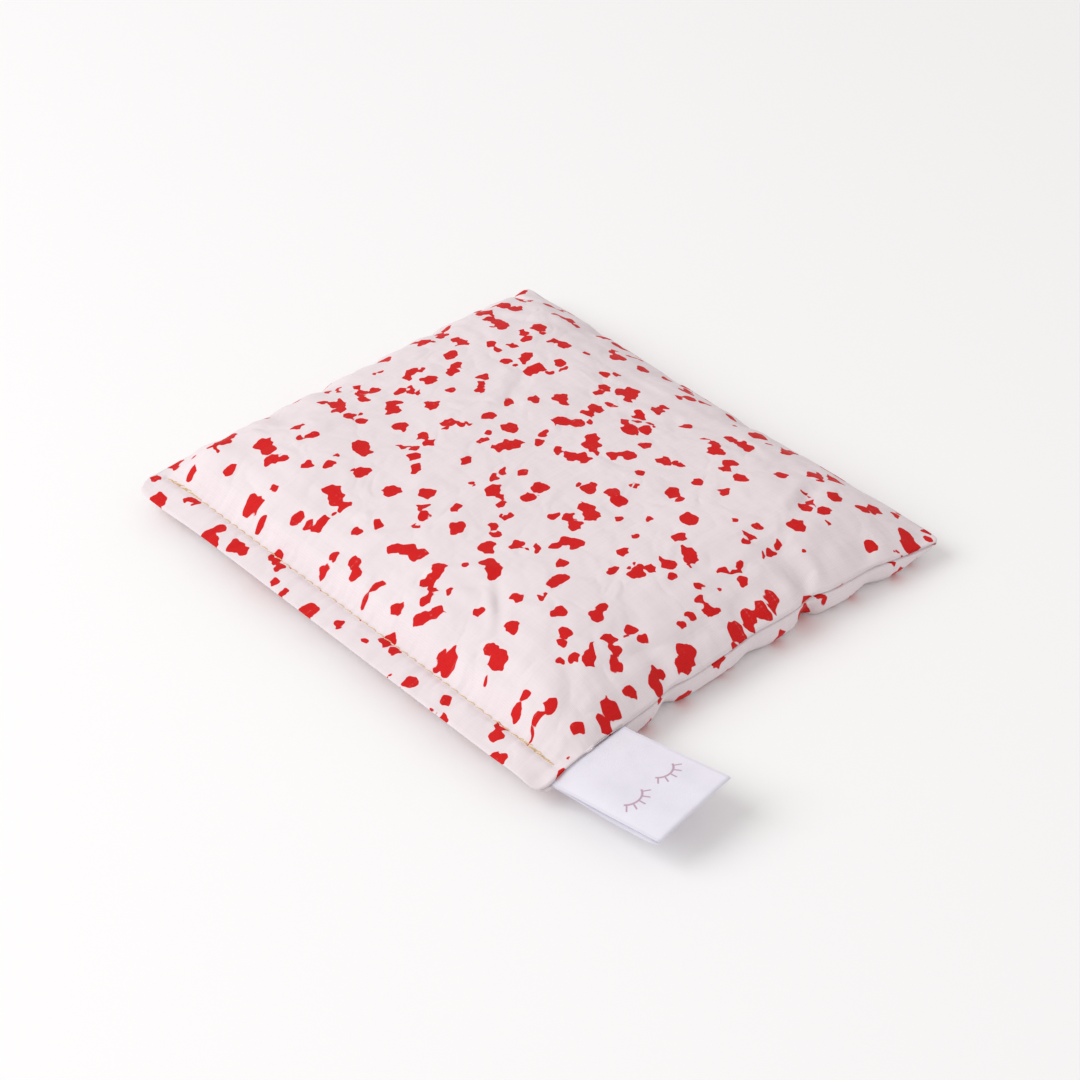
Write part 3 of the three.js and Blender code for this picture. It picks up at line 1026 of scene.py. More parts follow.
@dataclass(frozen=True)
class Crease:
    """A shallow fold in the cloth between two places on the flat panel."""

    start: tuple[float, float]
    end: tuple[float, float]
    depth: float
    width: float

    def relief(self, places: np.ndarray) -> np.ndarray:
        """Gives the crease's height at each place.

        Args:
            places: Points on the flat panel.

        Returns:
            Heights: below the cloth in the fold, and a little above it beside the fold.
        """
        start, end = np.array(self.start), np.array(self.end)
        length = np.linalg.norm(end - start)
        ahead = (end - start) / length
        beside = np.array((-ahead[1], ahead[0]))
        share = (places - start) @ ahead / length
        off = (places - start) @ beside + 0.06 * length * np.sin(math.pi * np.clip(share, 0.0, 1.0))
        taper = ease(share, 0.0, 0.35) * (1.0 - ease(share, 0.55, 1.0))
        fold = 0.8 * bump(off - 1.5 * self.width, self.width) - bump(off, self.width)
        return self.depth * taper * fold


@dataclass(frozen=True)
class HemStitching:
    """Where the needle went through the closing hem."""

    pitch: float = 2.75
    end_inset: float = 2.8
    press: float = 0.35
    press_width: float = 0.9
    hole_depth: float = 0.30
    hole_width: float = 0.55
    ripple: float = 0.10
    ripple_place: float = 1.6
    ripple_width: float = 1.1

    def holes(self, plan: Plan) -> np.ndarray:
        """Gives the places of the needle holes along the hem.

        Args:
            plan: The pouch's plan.

        Returns:
            Evenly spaced places, from one end to the other.
        """
        end = plan.half_length - self.end_inset
        count = round(2.0 * end / self.pitch)
        return np.linspace(-end, end, count + 1)

    def relief(self, plan: Plan, flat: np.ndarray) -> np.ndarray:
        """Gives how far the stitches press the cloth down.

        Args:
            plan: The pouch's plan.
            flat: Places in the outline's rectangle.

        Returns:
            The cloth's relief at each place, below 0 where it is pressed.
        """
        off = flat[:, 0] + plan.half_width - plan.hem
        holes = self.holes(plan)
        step = holes[1] - holes[0]
        phase = (flat[:, 1] - holes[0]) / step
        to_hole = (phase - np.round(phase)) * step
        sewn = np.abs(flat[:, 1]) < holes[-1] + 0.5
        tuck = self.hole_depth * bump(off, self.hole_width) * bump(to_hole, self.hole_width)
        beside = bump(off - self.ripple_place, self.ripple_width)
        beside = beside + bump(off + self.ripple_place, self.ripple_width)
        ripple = self.ripple * np.cos(2.0 * math.pi * phase) * beside
        return -(self.press * bump(off, self.press_width) + tuck + ripple) * sewn


@dataclass(frozen=True)
class ClothPress:
    """The cloth simulation: the grain pushes both panels out from the sewn outline.

    The solver is steadier on a bigger cloth, so the panels are simulated at ten times their size.
    """

    frames: int = 45
    enlarge: float = 10.0
    upper_pressure: float = 0.85
    lower_pressure: float = 0.9
    resting_patch: float = 9.0

    def prepare(self, panel: "CoverPanel") -> bpy.types.Object:
        """Makes the enlarged sewn panel that the solver moves.

        Args:
            panel: The panel to simulate.

        Returns:
            The object, with its cloth modifier.
        """
        piece = panel.sewn_grid(panel.name + "_cloth")
        cut = cut_places(piece)
        flat = panel.plan.flat(cut)
        closing, far, front, back = panel.plan.insets(flat)
        least = np.minimum.reduce([closing, far, front, back])
        held = (least < 0.1) | (closing < panel.plan.hem - 0.5)
        if panel.side is Side.LOWER:
            patch = self.resting_patch
            held |= (closing > panel.plan.hem + patch) & (np.minimum.reduce([far, front, back]) > patch)
        set_points(piece, points_of(piece) * self.enlarge)
        piece.shape_key_add(name="Basis")
        rest = piece.shape_key_add(name="flat cut")
        flat_cloth = np.column_stack([cut, np.zeros(len(cut))]) * MM * self.enlarge
        rest.data.foreach_set("co", flat_cloth.astype(np.float32).ravel())
        rest.value = 0.0
        piece.vertex_groups.new(name="held").add(np.flatnonzero(held).tolist(), 1.0, "REPLACE")
        pushed = closing > panel.plan.hem
        piece.vertex_groups.new(name="pushed").add(np.flatnonzero(pushed).tolist(), 1.0, "REPLACE")
        modifier = piece.modifiers.new("cloth", "CLOTH")
        cloth = modifier.settings
        cloth.quality = 6
        cloth.mass = 0.3
        cloth.tension_stiffness = cloth.compression_stiffness = 40.0
        cloth.shear_stiffness = 10.0
        cloth.bending_stiffness = 0.6
        cloth.tension_damping = cloth.compression_damping = 15.0
        cloth.shear_damping = 10.0
        cloth.bending_damping = 3.0
        cloth.air_damping = 3.0
        cloth.vertex_group_mass = "held"
        cloth.pin_stiffness = 50.0
        cloth.use_pressure = True
        upper = panel.side is Side.UPPER
        cloth.uniform_pressure_force = self.upper_pressure if upper else self.lower_pressure
        cloth.vertex_group_pressure = "pushed"
        cloth.rest_shape_key = rest
        cloth.effector_weights.gravity = 0.0
        modifier.collision_settings.use_collision = False
        modifier.point_cache.frame_start = 1
        modifier.point_cache.frame_end = self.frames
        return piece

    def run(self, panels: list["CoverPanel"]) -> dict[Side, np.ndarray]:
        """Simulates the panels together and takes their settled shapes.

        Args:
            panels: The upper and the lower panel.

        Returns:
            The settled points of each panel's grid.
        """
        pieces = {panel.side: self.prepare(panel) for panel in panels}
        scene = bpy.context.scene
        for number in range(1, self.frames + 1):
            scene.frame_set(number)
        settled = {}
        for side, piece in pieces.items():
            choose(piece)
            bpy.ops.object.convert(target="MESH")
            settled[side] = points_of(piece) / self.enlarge
            bpy.data.objects.remove(piece)
        scene.frame_set(1)
        return settled


@dataclass
class CoverPanel:
    """One printed panel of the pouch, with its seam allowance turned in."""

    plan: Plan
    side: Side
    name: str
    replaces: str
    stitching: HemStitching
    columns: int = 44
    rows: int = 50
    run: float = 30.0
    lower_run: float = 8.5
    fullness: float = 2.6
    lift: float = 0.5
    hem_lift: float = 0.8
    hem_roll: float = 0.9
    under_run: float = 5.5
    under_fullness: float = 2.4
    thickness: float = 0.26
    hem_belly: float = 0.32
    level: int = 5
    swell_start: float = 1.0
    swell_full: float = 22.0
    swell_sink: float = 0.4
    swells: tuple[Swell, ...] = (Swell(0.75, 31.0, 3.1), Swell(0.40, 15.0, 8.4))
    shoulder: float = 1.1
    shoulder_inset: float = 7.0
    shoulder_width: float = 5.5
    corner_swell: float = 1.2
    corner_place: tuple[float, float] = (13.0, 9.0)
    corner_width: float = 9.0
    wave: float = 0.16
    resting: float = 0.02
    sewn_turn: tuple[tuple[float, float], ...] = ((0.10, 0.33), (0.32, 0.17), (1.3, 0.10), (4.5, 0.10))
    closing_turn: tuple[tuple[float, float], ...] = ((-0.22, 0.52), (0.02, 0.16), (1.0, 0.08), (6.0, 0.08))
    creases: tuple[Crease, ...] = (
        Crease((-44.0, 16.0), (-24.0, -2.0), 0.74, 1.7),
        Crease((-47.0, -6.0), (-25.0, -30.0), 0.81, 1.9),
        Crease((-45.0, -38.0), (-30.0, -20.0), 0.47, 1.5),
        Crease((-38.0, 52.0), (-14.0, 40.0), 0.54, 2.0),
        Crease((4.0, 20.0), (30.0, 34.0), 0.41, 2.4),
        Crease((-6.0, -16.0), (22.0, -34.0), 0.43, 2.2),
        Crease((28.0, 6.0), (47.0, -16.0), 0.47, 2.0),
        Crease((36.0, 58.0), (52.0, 40.0), 0.61, 1.8),
        Crease((30.0, -54.0), (50.0, -44.0), 0.61, 1.8),
    )

    def climb(self, flat: np.ndarray) -> np.ndarray:
        """Gives the cloth's height away from the seam's plane before it has settled.

        Args:
            flat: Places in the outline's rectangle.

        Returns:
            The height at each place, from nothing at the seam to the full room inside.
        """
        closing, far, front, back = self.plan.insets(flat)
        past_hem = np.maximum(closing - self.plan.hem, 0.0)
        soft = 5.0
        least = -soft * np.log(sum(np.exp(-edge / soft) for edge in (past_hem, far, front, back)))
        room = self.plan.crown - self.plan.seam if self.side is Side.UPPER else self.plan.seam - 0.2
        run = self.run if self.side is Side.UPPER else self.lower_run
        share = np.clip(least / run, 0.0, 1.0)
        return (room - self.lift) * (1.0 - (1.0 - share) ** self.fullness)

    def sewn_grid(self, name: str) -> bpy.types.Object:
        """Makes the panel's grid, sewn to the outline and rising to its start shape.

        Args:
            name: The object's name.

        Returns:
            The grid, with the flat cloth in its cut UV map.
        """
        piece, unit = new_grid(name, self.columns, self.rows)
        cut = unit * (self.plan.cut_width / 2.0, self.plan.cut_length / 2.0)
        flat = self.plan.flat(cut)
        hem = self.plan.closing_share(flat)
        away = self.lift + (self.hem_lift - self.lift) * hem + self.climb(flat)
        height = self.plan.plane(flat) + self.side.value * away
        set_points(piece, np.column_stack([self.plan.lay(flat), np.maximum(height, 0.1)]))
        set_cut_places(piece, cut)
        if self.side is Side.LOWER:
            edit_faces(piece, bpy.ops.mesh.flip_normals)
        return piece

    def shape_upper(self, points: np.ndarray, flat: np.ndarray) -> np.ndarray:
        """Levels the crown, presses the hem flat and gives the cloth its creases.

        Args:
            points: The settled points.
            flat: The same points in the outline's rectangle.

        Returns:
            The shaped points.
        """
        closing, far, front, back = self.plan.insets(flat)
        plane = self.plan.plane(flat)
        room = self.plan.crown - self.plan.seam
        away = np.maximum(points[:, 2] - plane, 0.0)
        away = away / (1.0 + (away / room) ** self.level) ** (1.0 / self.level)
        hem_away = self.hem_away(closing)
        past = self.plan.past_hem(closing)
        away = hem_away + past * (away - hem_away)
        inset = np.minimum.reduce([closing - self.plan.hem, far, front, back])
        inner = ease(inset, self.swell_start, self.swell_full)
        away += inner * (sum(swell.relief(flat) for swell in self.swells) - self.swell_sink)
        away += ease(inner, 0.1, 0.6) * sum(crease.relief(flat) for crease in self.creases)
        away += self.gather_relief(flat)
        along_back = bump(back - self.shoulder_inset, self.shoulder_width)
        away += self.shoulder * along_back * ease(far, 4.0, 24.0) * past
        from_corner = np.hypot(closing - self.corner_place[0], back - self.corner_place[1])
        away += self.corner_swell * bump(from_corner, self.corner_width)
        away += self.hem_waves(flat)
        shaped = points.copy()
        shaped[:, 2] = plane + away + self.stitching.relief(self.plan, flat)
        return shaped

    def hem_away(self, closing: np.ndarray) -> np.ndarray:
        """Gives the hem's height away from the seam's plane, from the closing edge to the stitching."""
        share = np.clip(closing / self.plan.hem, 0.0, 1.0)
        return self.hem_lift + self.hem_belly * np.sin(math.pi * share)

    def hem_waves(self, flat: np.ndarray) -> np.ndarray:
        """Gives the soft waves that stitching leaves in the hem and just past it.

        Args:
            flat: Places in the outline's rectangle.

        Returns:
            The waves' height at each place.
        """
        off = flat[:, 0] + self.plan.half_width - self.plan.hem
        along = flat[:, 1]
        wave = np.sin(0.52 * along + 1.3 * np.sin(0.17 * along)) + 0.6 * np.sin(1.07 * along + 2.0)
        return self.wave * wave * (bump(off + 3.4, 2.4) + bump(off - 3.6, 2.6))

    def gather_relief(self, flat: np.ndarray) -> np.ndarray:
        """Gives the small valleys that run into the panel from where the seam puckers.

        Args:
            flat: Places in the outline's rectangle.

        Returns:
            The height at each place: below 0 in a valley, and above it on the ridges beside.
        """
        _, far, front, back = self.plan.insets(flat)
        relief = np.zeros(len(flat))
        sides = (
            (self.plan.far_gathers, far, flat[:, 1]),
            (self.plan.front_gathers, front, flat[:, 0]),
            (self.plan.back_gathers, back, flat[:, 0]),
        )
        for gathers, inset, along in sides:
            reach = ease(inset, 0.0, 3.0) * np.exp(-inset / 7.0)
            for gather in gathers:
                spread = gather.width * (0.45 + 0.05 * inset)
                valley = -np.exp(-(((along - gather.along) / spread) ** 2))
                ridge = 0.45 * np.exp(-(((np.abs(along - gather.along) - 1.9 * spread) / spread) ** 2))
                relief += 2.0 * gather.draw * reach * (valley + ridge)
            fine = np.sin(0.93 * along + 1.7 * np.sin(0.21 * along)) * np.sin(0.37 * along + 0.6)
            relief += 0.16 * fine * reach
        return relief

    def shape_lower(self, points: np.ndarray, flat: np.ndarray) -> np.ndarray:
        """Rests the lower panel on the table and presses its hem flat.

        Args:
            points: The settled points.
            flat: The same points in the outline's rectangle.

        Returns:
            The shaped points.
        """
        closing, far, front, back = self.plan.insets(flat)
        plane = self.plan.plane(flat)
        inset = np.minimum.reduce([np.maximum(closing - self.plan.hem, 0.0), far, front, back])
        steep = 1.0 - (1.0 - np.clip(inset / self.under_run, 0.0, 1.0)) ** self.under_fullness
        away = np.maximum(plane - points[:, 2], plane * steep)
        hem_away = self.hem_away(closing)
        past = self.plan.past_hem(closing)
        away = hem_away + past * (away - hem_away) + 0.6 * self.gather_relief(flat)
        shaped = points.copy()
        shaped[:, 2] = plane - away - self.stitching.relief(self.plan, flat)
        above = np.logaddexp(0.0, 4.0 * (shaped[:, 2] - self.resting)) / 4.0
        shaped[:, 2] = self.resting + above * ease(shaped[:, 2], 0.0, 0.8)
        shaped[:, :2] += self.side_bulge(flat)
        shaped[:, 0] += self.fold_shift(closing)
        return shaped

    def fold_shift(self, closing: np.ndarray) -> np.ndarray:
        """Gives how far the lower layer of the hem is folded behind the upper one.

        Args:
            closing: Distances from the closing side.

        Returns:
            The shift along X at each distance, and none for the upper panel.
        """
        if self.side is Side.UPPER:
            return np.zeros(len(closing))
        return self.hem_roll * (1.0 - ease(closing, -1.0, 5.0))

    def side_bulge(self, flat: np.ndarray) -> np.ndarray:
        """Gives how far the lower panel's upright sides swell outward between the puckers.

        Args:
            flat: Points in the outline's rectangle.

        Returns:
            Sideways moves, one row of two values for each point.
        """
        closing, far, front, back = self.plan.insets(flat)
        moves = np.zeros((len(flat), 2))
        sides = (
            (self.plan.far_gathers, far, flat[:, 1], self.plan.half_length, (1.0, 0.0)),
            (self.plan.front_gathers, front, flat[:, 0], self.plan.half_width, (0.0, -1.0)),
            (self.plan.back_gathers, back, flat[:, 0], self.plan.half_width, (0.0, 1.0)),
        )
        past = ease(closing, self.plan.hem, self.plan.hem + 8.0)
        for gathers, inset, along, half, outward in sides:
            tucked = sum(gather.draw * bump(along - gather.along, gather.width) for gather in gathers)
            from_ends = ease(half - np.abs(along), 2.0, 14.0) * past
            swell = ease(inset, 0.0, 1.6) * (1.0 - ease(inset, 3.0, 9.0)) * from_ends
            amount = swell * np.maximum(1.5 - 1.5 * tucked + 0.3 * mottle(flat, 9.0, 5.7), -0.3)
            moves += amount[:, None] * np.array(outward)
        return moves

    def turn_in(self, piece: bpy.types.Object) -> None:
        """Folds the panel's edge in all round, and carries it on inside as the seam allowance.

        Args:
            piece: The shaped panel.
        """
        sewn = (*self.sewn_turn, (self.plan.side_allowance, self.sewn_turn[-1][1]))
        closing = (*self.closing_turn, (self.plan.closing_allowance, self.closing_turn[-1][1]))
        build = bmesh.new()
        build.from_mesh(piece.data)
        layer = build.loops.layers.uv["cut"]
        rim_loops = [edge.link_loops[0] for edge in build.edges if edge.is_boundary]
        edges = [(loop.link_loop_next.vert, loop.vert) for loop in rim_loops]
        rim = sorted({vertex for ends in edges for vertex in ends}, key=lambda vertex: vertex.index)
        cut = np.array([(vertex.link_loops[0][layer].uv - Vector((0.5, 0.5))) * UV_SPAN for vertex in rim])
        flat = self.plan.flat(cut)
        last = {vertex: vertex for vertex in rim}
        last_cut = {vertex: tuple(place) for vertex, place in zip(rim, cut)}
        for (side_inset, side_away), (closing_inset, closing_away) in zip(sewn, closing):
            share = self.plan.closing_share(flat)
            room = self.plan.mouth_room * self.plan.opening(flat)
            inner = flat.copy()
            width = 2.0 * self.plan.half_width
            from_closing = (flat[:, 0] + self.plan.half_width) / width
            inner[:, 0] += closing_inset * (1.0 - from_closing) - side_inset * from_closing
            inner[:, 1] *= 1.0 - side_inset / self.plan.half_length
            away = side_away + (closing_away - side_away) * share + room
            height = self.plan.plane(np.clip(inner, *self.plan.limits())) + self.side.value * away
            place = self.plan.lay(inner)
            place[:, 0] += self.fold_shift(self.plan.insets(inner)[0])
            outward = 2.0 * flat - inner
            grown = outward * (cut / np.where(np.abs(flat) < 1e-9, 1.0, flat))
            made = {
                vertex: build.verts.new((x * MM, y * MM, z * MM))
                for vertex, (x, y), z in zip(rim, place, height)
            }
            made_cut = {vertex: tuple(where) for vertex, where in zip(rim, grown)}
            for first, second in edges:
                face = build.faces.new((last[first], last[second], made[second], made[first]))
                places = (last_cut[first], last_cut[second], made_cut[second], made_cut[first])
                for loop, where in zip(face.loops, places):
                    loop[layer].uv = Vector(where) / UV_SPAN + Vector((0.5, 0.5))
            last, last_cut = made, made_cut
        build.normal_update()
        build.to_mesh(piece.data)
        build.free()

    def build(self, settled: np.ndarray | None, material: bpy.types.Material) -> bpy.types.Object:
        """Builds the finished panel.

        Args:
            settled: The simulated points of the grid, or None to keep the start shape.
            material: The cloth's finish.

        Returns:
            The panel.
        """
        piece = self.sewn_grid(self.name)
        if settled is not None:
            set_points(piece, settled)
        apply_modifier(piece, "SUBSURF", levels=2, render_levels=2)
        flat = self.plan.flat(cut_places(piece))
        shape = self.shape_upper if self.side is Side.UPPER else self.shape_lower
        set_points(piece, shape(points_of(piece), flat))
        self.turn_in(piece)
        apply_modifier(piece, "SOLIDIFY", thickness=self.thickness * MM, offset=-1.0)
        choose(piece)
        bpy.ops.object.shade_smooth()
        dress(piece, material)
        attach(piece, "pouch")
        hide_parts(self.replaces)
        return piece


# ---------------------------------------------------------------- sewing threads


@dataclass
class Strand:
    """A thread: a tube along a route, with its length and its turn in a UV map."""

    radius: float = 0.11
    sides: int = 8

    def sweep(self, route: np.ndarray) -> tuple[np.ndarray, np.ndarray, list[tuple[int, ...]]]:
        """Sweeps the thread's section along a route.

        Args:
            route: The middle of the thread, one row for each ring.

        Returns:
            The tube's points, the distance of each ring along the thread, and its faces.
        """
        ahead = np.gradient(route, axis=0)
        ahead /= np.linalg.norm(ahead, axis=1)[:, None]
        beside = np.zeros_like(ahead)
        hint = np.array((0.0, 0.0, 1.0)) if abs(ahead[0][2]) < 0.9 else np.array((1.0, 0.0, 0.0))
        for step, direction in enumerate(ahead):
            hint = hint - direction * (hint @ direction)
            hint /= np.linalg.norm(hint)
            beside[step] = hint
        third = np.cross(ahead, beside)
        turns = np.arange(self.sides) * 2.0 * math.pi / self.sides
        rings = (
            route[:, None, :]
            + self.radius * np.cos(turns)[None, :, None] * beside[:, None, :]
            + self.radius * np.sin(turns)[None, :, None] * third[:, None, :]
        )
        points = rings.reshape(-1, 3)
        length = np.concatenate([[0.0], np.cumsum(np.linalg.norm(np.diff(route, axis=0), axis=1))])
        faces = []
        for ring in range(len(route) - 1):
            for side in range(self.sides):
                after = (side + 1) % self.sides
                here, there = ring * self.sides, (ring + 1) * self.sides
                faces.append((here + side, here + after, there + after, there + side))
        faces.append(tuple(range(self.sides))[::-1])
        start = (len(route) - 1) * self.sides
        faces.append(tuple(range(start, start + self.sides)))
        return points, length, faces

    def build(self, name: str, routes: list[np.ndarray], material: bpy.types.Material) -> bpy.types.Object:
        """Builds one piece from one or more routes.

        Args:
            name: The piece's name.
            routes: The middle of each run of thread.
            material: The thread's finish.

        Returns:
            The thread.
        """
        points: list[np.ndarray] = []
        faces: list[tuple[int, ...]] = []
        along: list[float] = []
        count = 0
        for route in routes:
            made, length, tube_faces = self.sweep(route)
            points.append(made)
            along.extend(np.repeat(length, self.sides))
            faces.extend(tuple(index + count for index in face) for face in tube_faces)
            count += len(made)
        mesh = bpy.data.meshes.new(name)
        mesh.from_pydata([tuple(point * MM) for point in np.vstack(points)], [], faces)
        uv = mesh.uv_layers.new(name="strand")
        for polygon in mesh.polygons:
            last = max(index % self.sides for index in polygon.vertices)
            for loop in polygon.loop_indices:
                index = mesh.loops[loop].vertex_index
                side = index % self.sides
                if side == 0 and last == self.sides - 1 and len(polygon.vertices) == 4:
                    side = self.sides
                uv.data[loop].uv = (along[index] * MM, side / self.sides)
        piece = bpy.data.objects.new(name, mesh)
        bpy.context.scene.collection.objects.link(piece)
        edit_faces(piece, face_outward)
        bpy.ops.object.shade_smooth()
        dress(piece, material)
        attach(piece, "pouch")
        return piece


@dataclass
class Topstitching:
    """The two threads that close the hem, one on each face, sewn back over themselves at both ends."""

    plan: Plan
    stitching: HemStitching
    strand: Strand
    tack_length: float = 11.0
    tack_spread: float = 0.34
    slant: float = 0.10
    rise: float = 0.03
    sink: float = 0.45
    profile: tuple[tuple[float, float], ...] = (
        (0.0, -1.0),
        (0.07, -0.35),
        (0.17, 0.45),
        (0.34, 0.9),
        (0.5, 1.0),
        (0.66, 0.9),
        (0.83, 0.45),
        (0.93, -0.35),
    )

    def run(self, holes: np.ndarray, sideways: float, tree: BVHTree, side: Side) -> np.ndarray:
        """Lays one run of stitches along the hem.

        Args:
            holes: The needle holes, in order.
            sideways: How far the run is off the hem's line at its end.
            tree: The panel that the thread lies on.
            side: The face of the hem.

        Returns:
            The middle of the thread.
        """
        route = []
        total = holes[-1] - holes[0]
        for first, second in zip(holes, holes[1:]):
            for share, level in self.profile:
                across = self.slant * math.sin(2.0 * math.pi * share)
                route.append((first + share * (second - first), level, across))
        route.append((holes[-1], -1.0, 0.0))
        out = []
        for along, level, across in route:
            drift = sideways * math.sin(math.pi * (along - holes[0]) / total) if total else 0.0
            flat = np.array([(-self.plan.half_width + self.plan.hem + drift + across, along)])
            x, y = self.plan.lay(flat)[0]
            face = height_at(tree, x, y, side)
            away = self.rise * level if level > 0.0 else self.sink * level
            out.append((x, y, face + side.value * (away + 0.3 * self.strand.radius)))
        return np.array(out)

    def build(
        self, panel: bpy.types.Object, side: Side, name: str, replaces: str, material: bpy.types.Material
    ) -> bpy.types.Object:
        """Builds the thread on one face of the hem.

        Args:
            panel: The panel that it lies on.
            side: The face of the hem.
            name: The piece's name.
            replaces: The CAD node that it stands for.
            material: The thread's finish.

        Returns:
            The thread.
        """
        tree = surface_of(panel)
        holes = self.stitching.holes(self.plan)
        tacks = round(self.tack_length / self.stitching.pitch)
        routes = [self.run(holes, 0.0, tree, side)]
        for ends in (holes[: tacks + 1], holes[-tacks - 1 :]):
            shifted = ends + 0.45 * self.stitching.pitch * np.sign(-ends.mean())
            routes.append(self.run(shifted, self.tack_spread, tree, side))
            routes.append(self.run(ends, -self.tack_spread, tree, side))
        piece = self.strand.build(name, routes, material)
        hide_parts(replaces)
        return piece


@dataclass
class SeamThread:
    """The hidden thread on one side of the turned seam."""

    plan: Plan
    strand: Strand
    pitch: float = 2.4
    inset: float = 1.3
    away: float = 0.55
    under_cloth: float = 0.45
    hem_gap: float = 1.8
    rings: int = 6
    dip: float = 0.10

    def route(self, panel: bpy.types.Object, side: Side) -> np.ndarray:
        """Lays the stitches round the three sewn sides, under the panel's cloth.

        Args:
            panel: The panel that covers the thread.
            side: The face of the seam allowance that the thread lies on.

        Returns:
            The middle of the thread.
        """
        start = -self.plan.half_width + self.plan.hem + self.hem_gap
        right = self.plan.half_width - self.inset
        end = self.plan.half_length - self.inset
        corners = np.array([(start, -end), (right, -end), (right, end), (start, end)])
        steps = []
        for first, second in zip(corners, corners[1:]):
            count = round(np.linalg.norm(second - first) / self.pitch) * self.rings
            steps.extend(first + (second - first) * share for share in np.arange(count) / count)
        flat = np.array([*steps, corners[-1]])
        wave = self.dip * (1.0 - np.cos(2.0 * math.pi * np.arange(len(flat)) / self.rings))
        opened = self.plan.mouth_room * self.plan.opening(flat)
        plane, place = self.plan.plane(flat), self.plan.lay(flat)
        tree = surface_of(panel)
        skin = np.array([height_at(tree, x, y, side) for x, y in place])
        room = side.value * (skin - plane) - self.under_cloth
        height = plane + side.value * np.minimum(self.away + opened - wave, room)
        return np.column_stack([place, height])

    def build(
        self, panel: bpy.types.Object, side: Side, name: str, replaces: str, material: bpy.types.Material
    ) -> bpy.types.Object:
        """Builds the thread.

        Args:
            panel: The panel that covers it.
            side: The face of the seam allowance.
            name: The piece's name.
            replaces: The CAD node that it stands for.
            material: The thread's finish.

        Returns:
            The thread.
        """
        piece = self.strand.build(name, [self.route(panel, side)], material)
        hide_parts(replaces)
        return piece


# ---------------------------------------------------------------- label


@dataclass
class RibbonLabel:
    """The folded satin ribbon, caught in the front seam."""

    plan: Plan
    width: float = 22.3
    reach: float = 27.2
    tail: float = 6.5
    turn: float = 5.5
    rise: float = 2.4
    twist: float = 1.5
    gap: float = 0.17
    thickness: float = 0.16
    fold_radius: float = 0.34
    across_steps: int = 30
    along_steps: int = 72
    hinge_before: float = 1.0
    hinge_after: float = 1.6

    @property
    def cut_length(self) -> float:
        """The ribbon's length before it was folded in two."""
        return 2.0 * (self.reach + self.tail)

    def section(self, along: np.ndarray) -> tuple[np.ndarray, np.ndarray]:
        """Folds the ribbon's length in two.

        Args:
            along: Places along the flat ribbon, from 0 at its fold, positive on the upper layer.

        Returns:
            How far each place is from the seam, and how far it stands off the middle of the two layers.
        """
        bend = math.pi * self.fold_radius / 2.0
        past = np.abs(along) - bend
        angle = np.clip(along / self.fold_radius, -math.pi / 2.0, math.pi / 2.0)
        end = self.reach - self.fold_radius
        out = np.where(past < 0.0, end + self.fold_radius * np.cos(angle), end - past)
        settle = ease(past, 0.0, 4.0)
        belly = 0.22 * np.sin(math.pi * np.clip(out / self.reach, 0.0, 1.0))
        off = self.fold_radius + settle * (self.gap + belly - self.fold_radius)
        away = np.where(past < 0.0, self.fold_radius * np.sin(angle), np.sign(along) * off)
        return out, away

    def lift(self, out: np.ndarray, across: np.ndarray) -> np.ndarray:
        """Gives how far the ribbon stands above the seam.

        Args:
            out: Distance from the seam.
            across: Place across the ribbon.

        Returns:
            The height: the ribbon rises outward, and is a little twisted at its free end.
        """
        share = np.clip(out / self.reach, 0.0, 1.0)
        return ease(out, -0.5, 4.0) * share * (self.rise + self.twist * across / self.width)

    def build(self, material: bpy.types.Material) -> bpy.types.Object:
        """Builds the label and bends it between the pouch and the flap.

        Args:
            material: The ribbon's finish.

        Returns:
            The label.
        """
        piece, unit = new_grid("ribbon_label", self.across_steps, self.along_steps)
        across = unit[:, 0] * self.width / 2.0
        squeeze = 0.35
        even = np.abs(unit[:, 1])
        along = np.sign(unit[:, 1]) * (squeeze * even**2 + (1.0 - squeeze) * even) * self.cut_length / 2.0
        out, away = self.section(along)
        under = (along < 0.0) * ease(-along, 0.0, 3.0)
        joint = next(each for each in frame["joints"] if each["name"] == "label_fold")
        hinge = Vector(joint["pos_m"]) / MM
        axis = Vector(joint["axis"])
        outward = Vector((-axis.y, axis.x, 0.0)).normalized()
        if outward.y > 0.0:
            outward = -outward
        angle = math.radians(self.turn)
        forward = np.array((math.sin(angle), -math.cos(angle)))
        sideways = np.array((math.cos(angle), math.sin(angle)))
        shifted = across - 0.55 * under * ease(out, 0.0, self.reach)
        place = np.array((hinge.x, hinge.y)) + out[:, None] * forward + shifted[:, None] * sideways
        past_hinge = (place - np.array((hinge.x, hinge.y))) @ np.array((outward.x, outward.y))
        wave = 0.35 * np.sin(2.2 * across / self.width + 0.8) * ease(out, 2.0, self.reach)
        side = ease(np.abs(across), 5.0, self.width / 2.0)
        curl = 0.5 * side * np.sin(math.pi * np.clip(out / self.reach, 0.0, 1.0)) ** 2
        in_plan = np.clip(place, *self.plan.limits())
        seam_height = self.plan.plane(in_plan)
        height = seam_height + self.lift(past_hinge, across) + away + 0.6 * wave - 0.5 * curl
        set_points(piece, np.column_stack([place, height]))
        set_cut_places(piece, np.column_stack([across, self.reach - along]))
        apply_modifier(piece, "SOLIDIFY", thickness=self.thickness * MM, offset=0.0)
        choose(piece)
        bpy.ops.object.shade_smooth_by_angle(angle=math.radians(50.0))
        dress(piece, material)
        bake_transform(piece)
        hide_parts("label_flap", "label_seam_end")
        return piece


# ---------------------------------------------------------------- filling


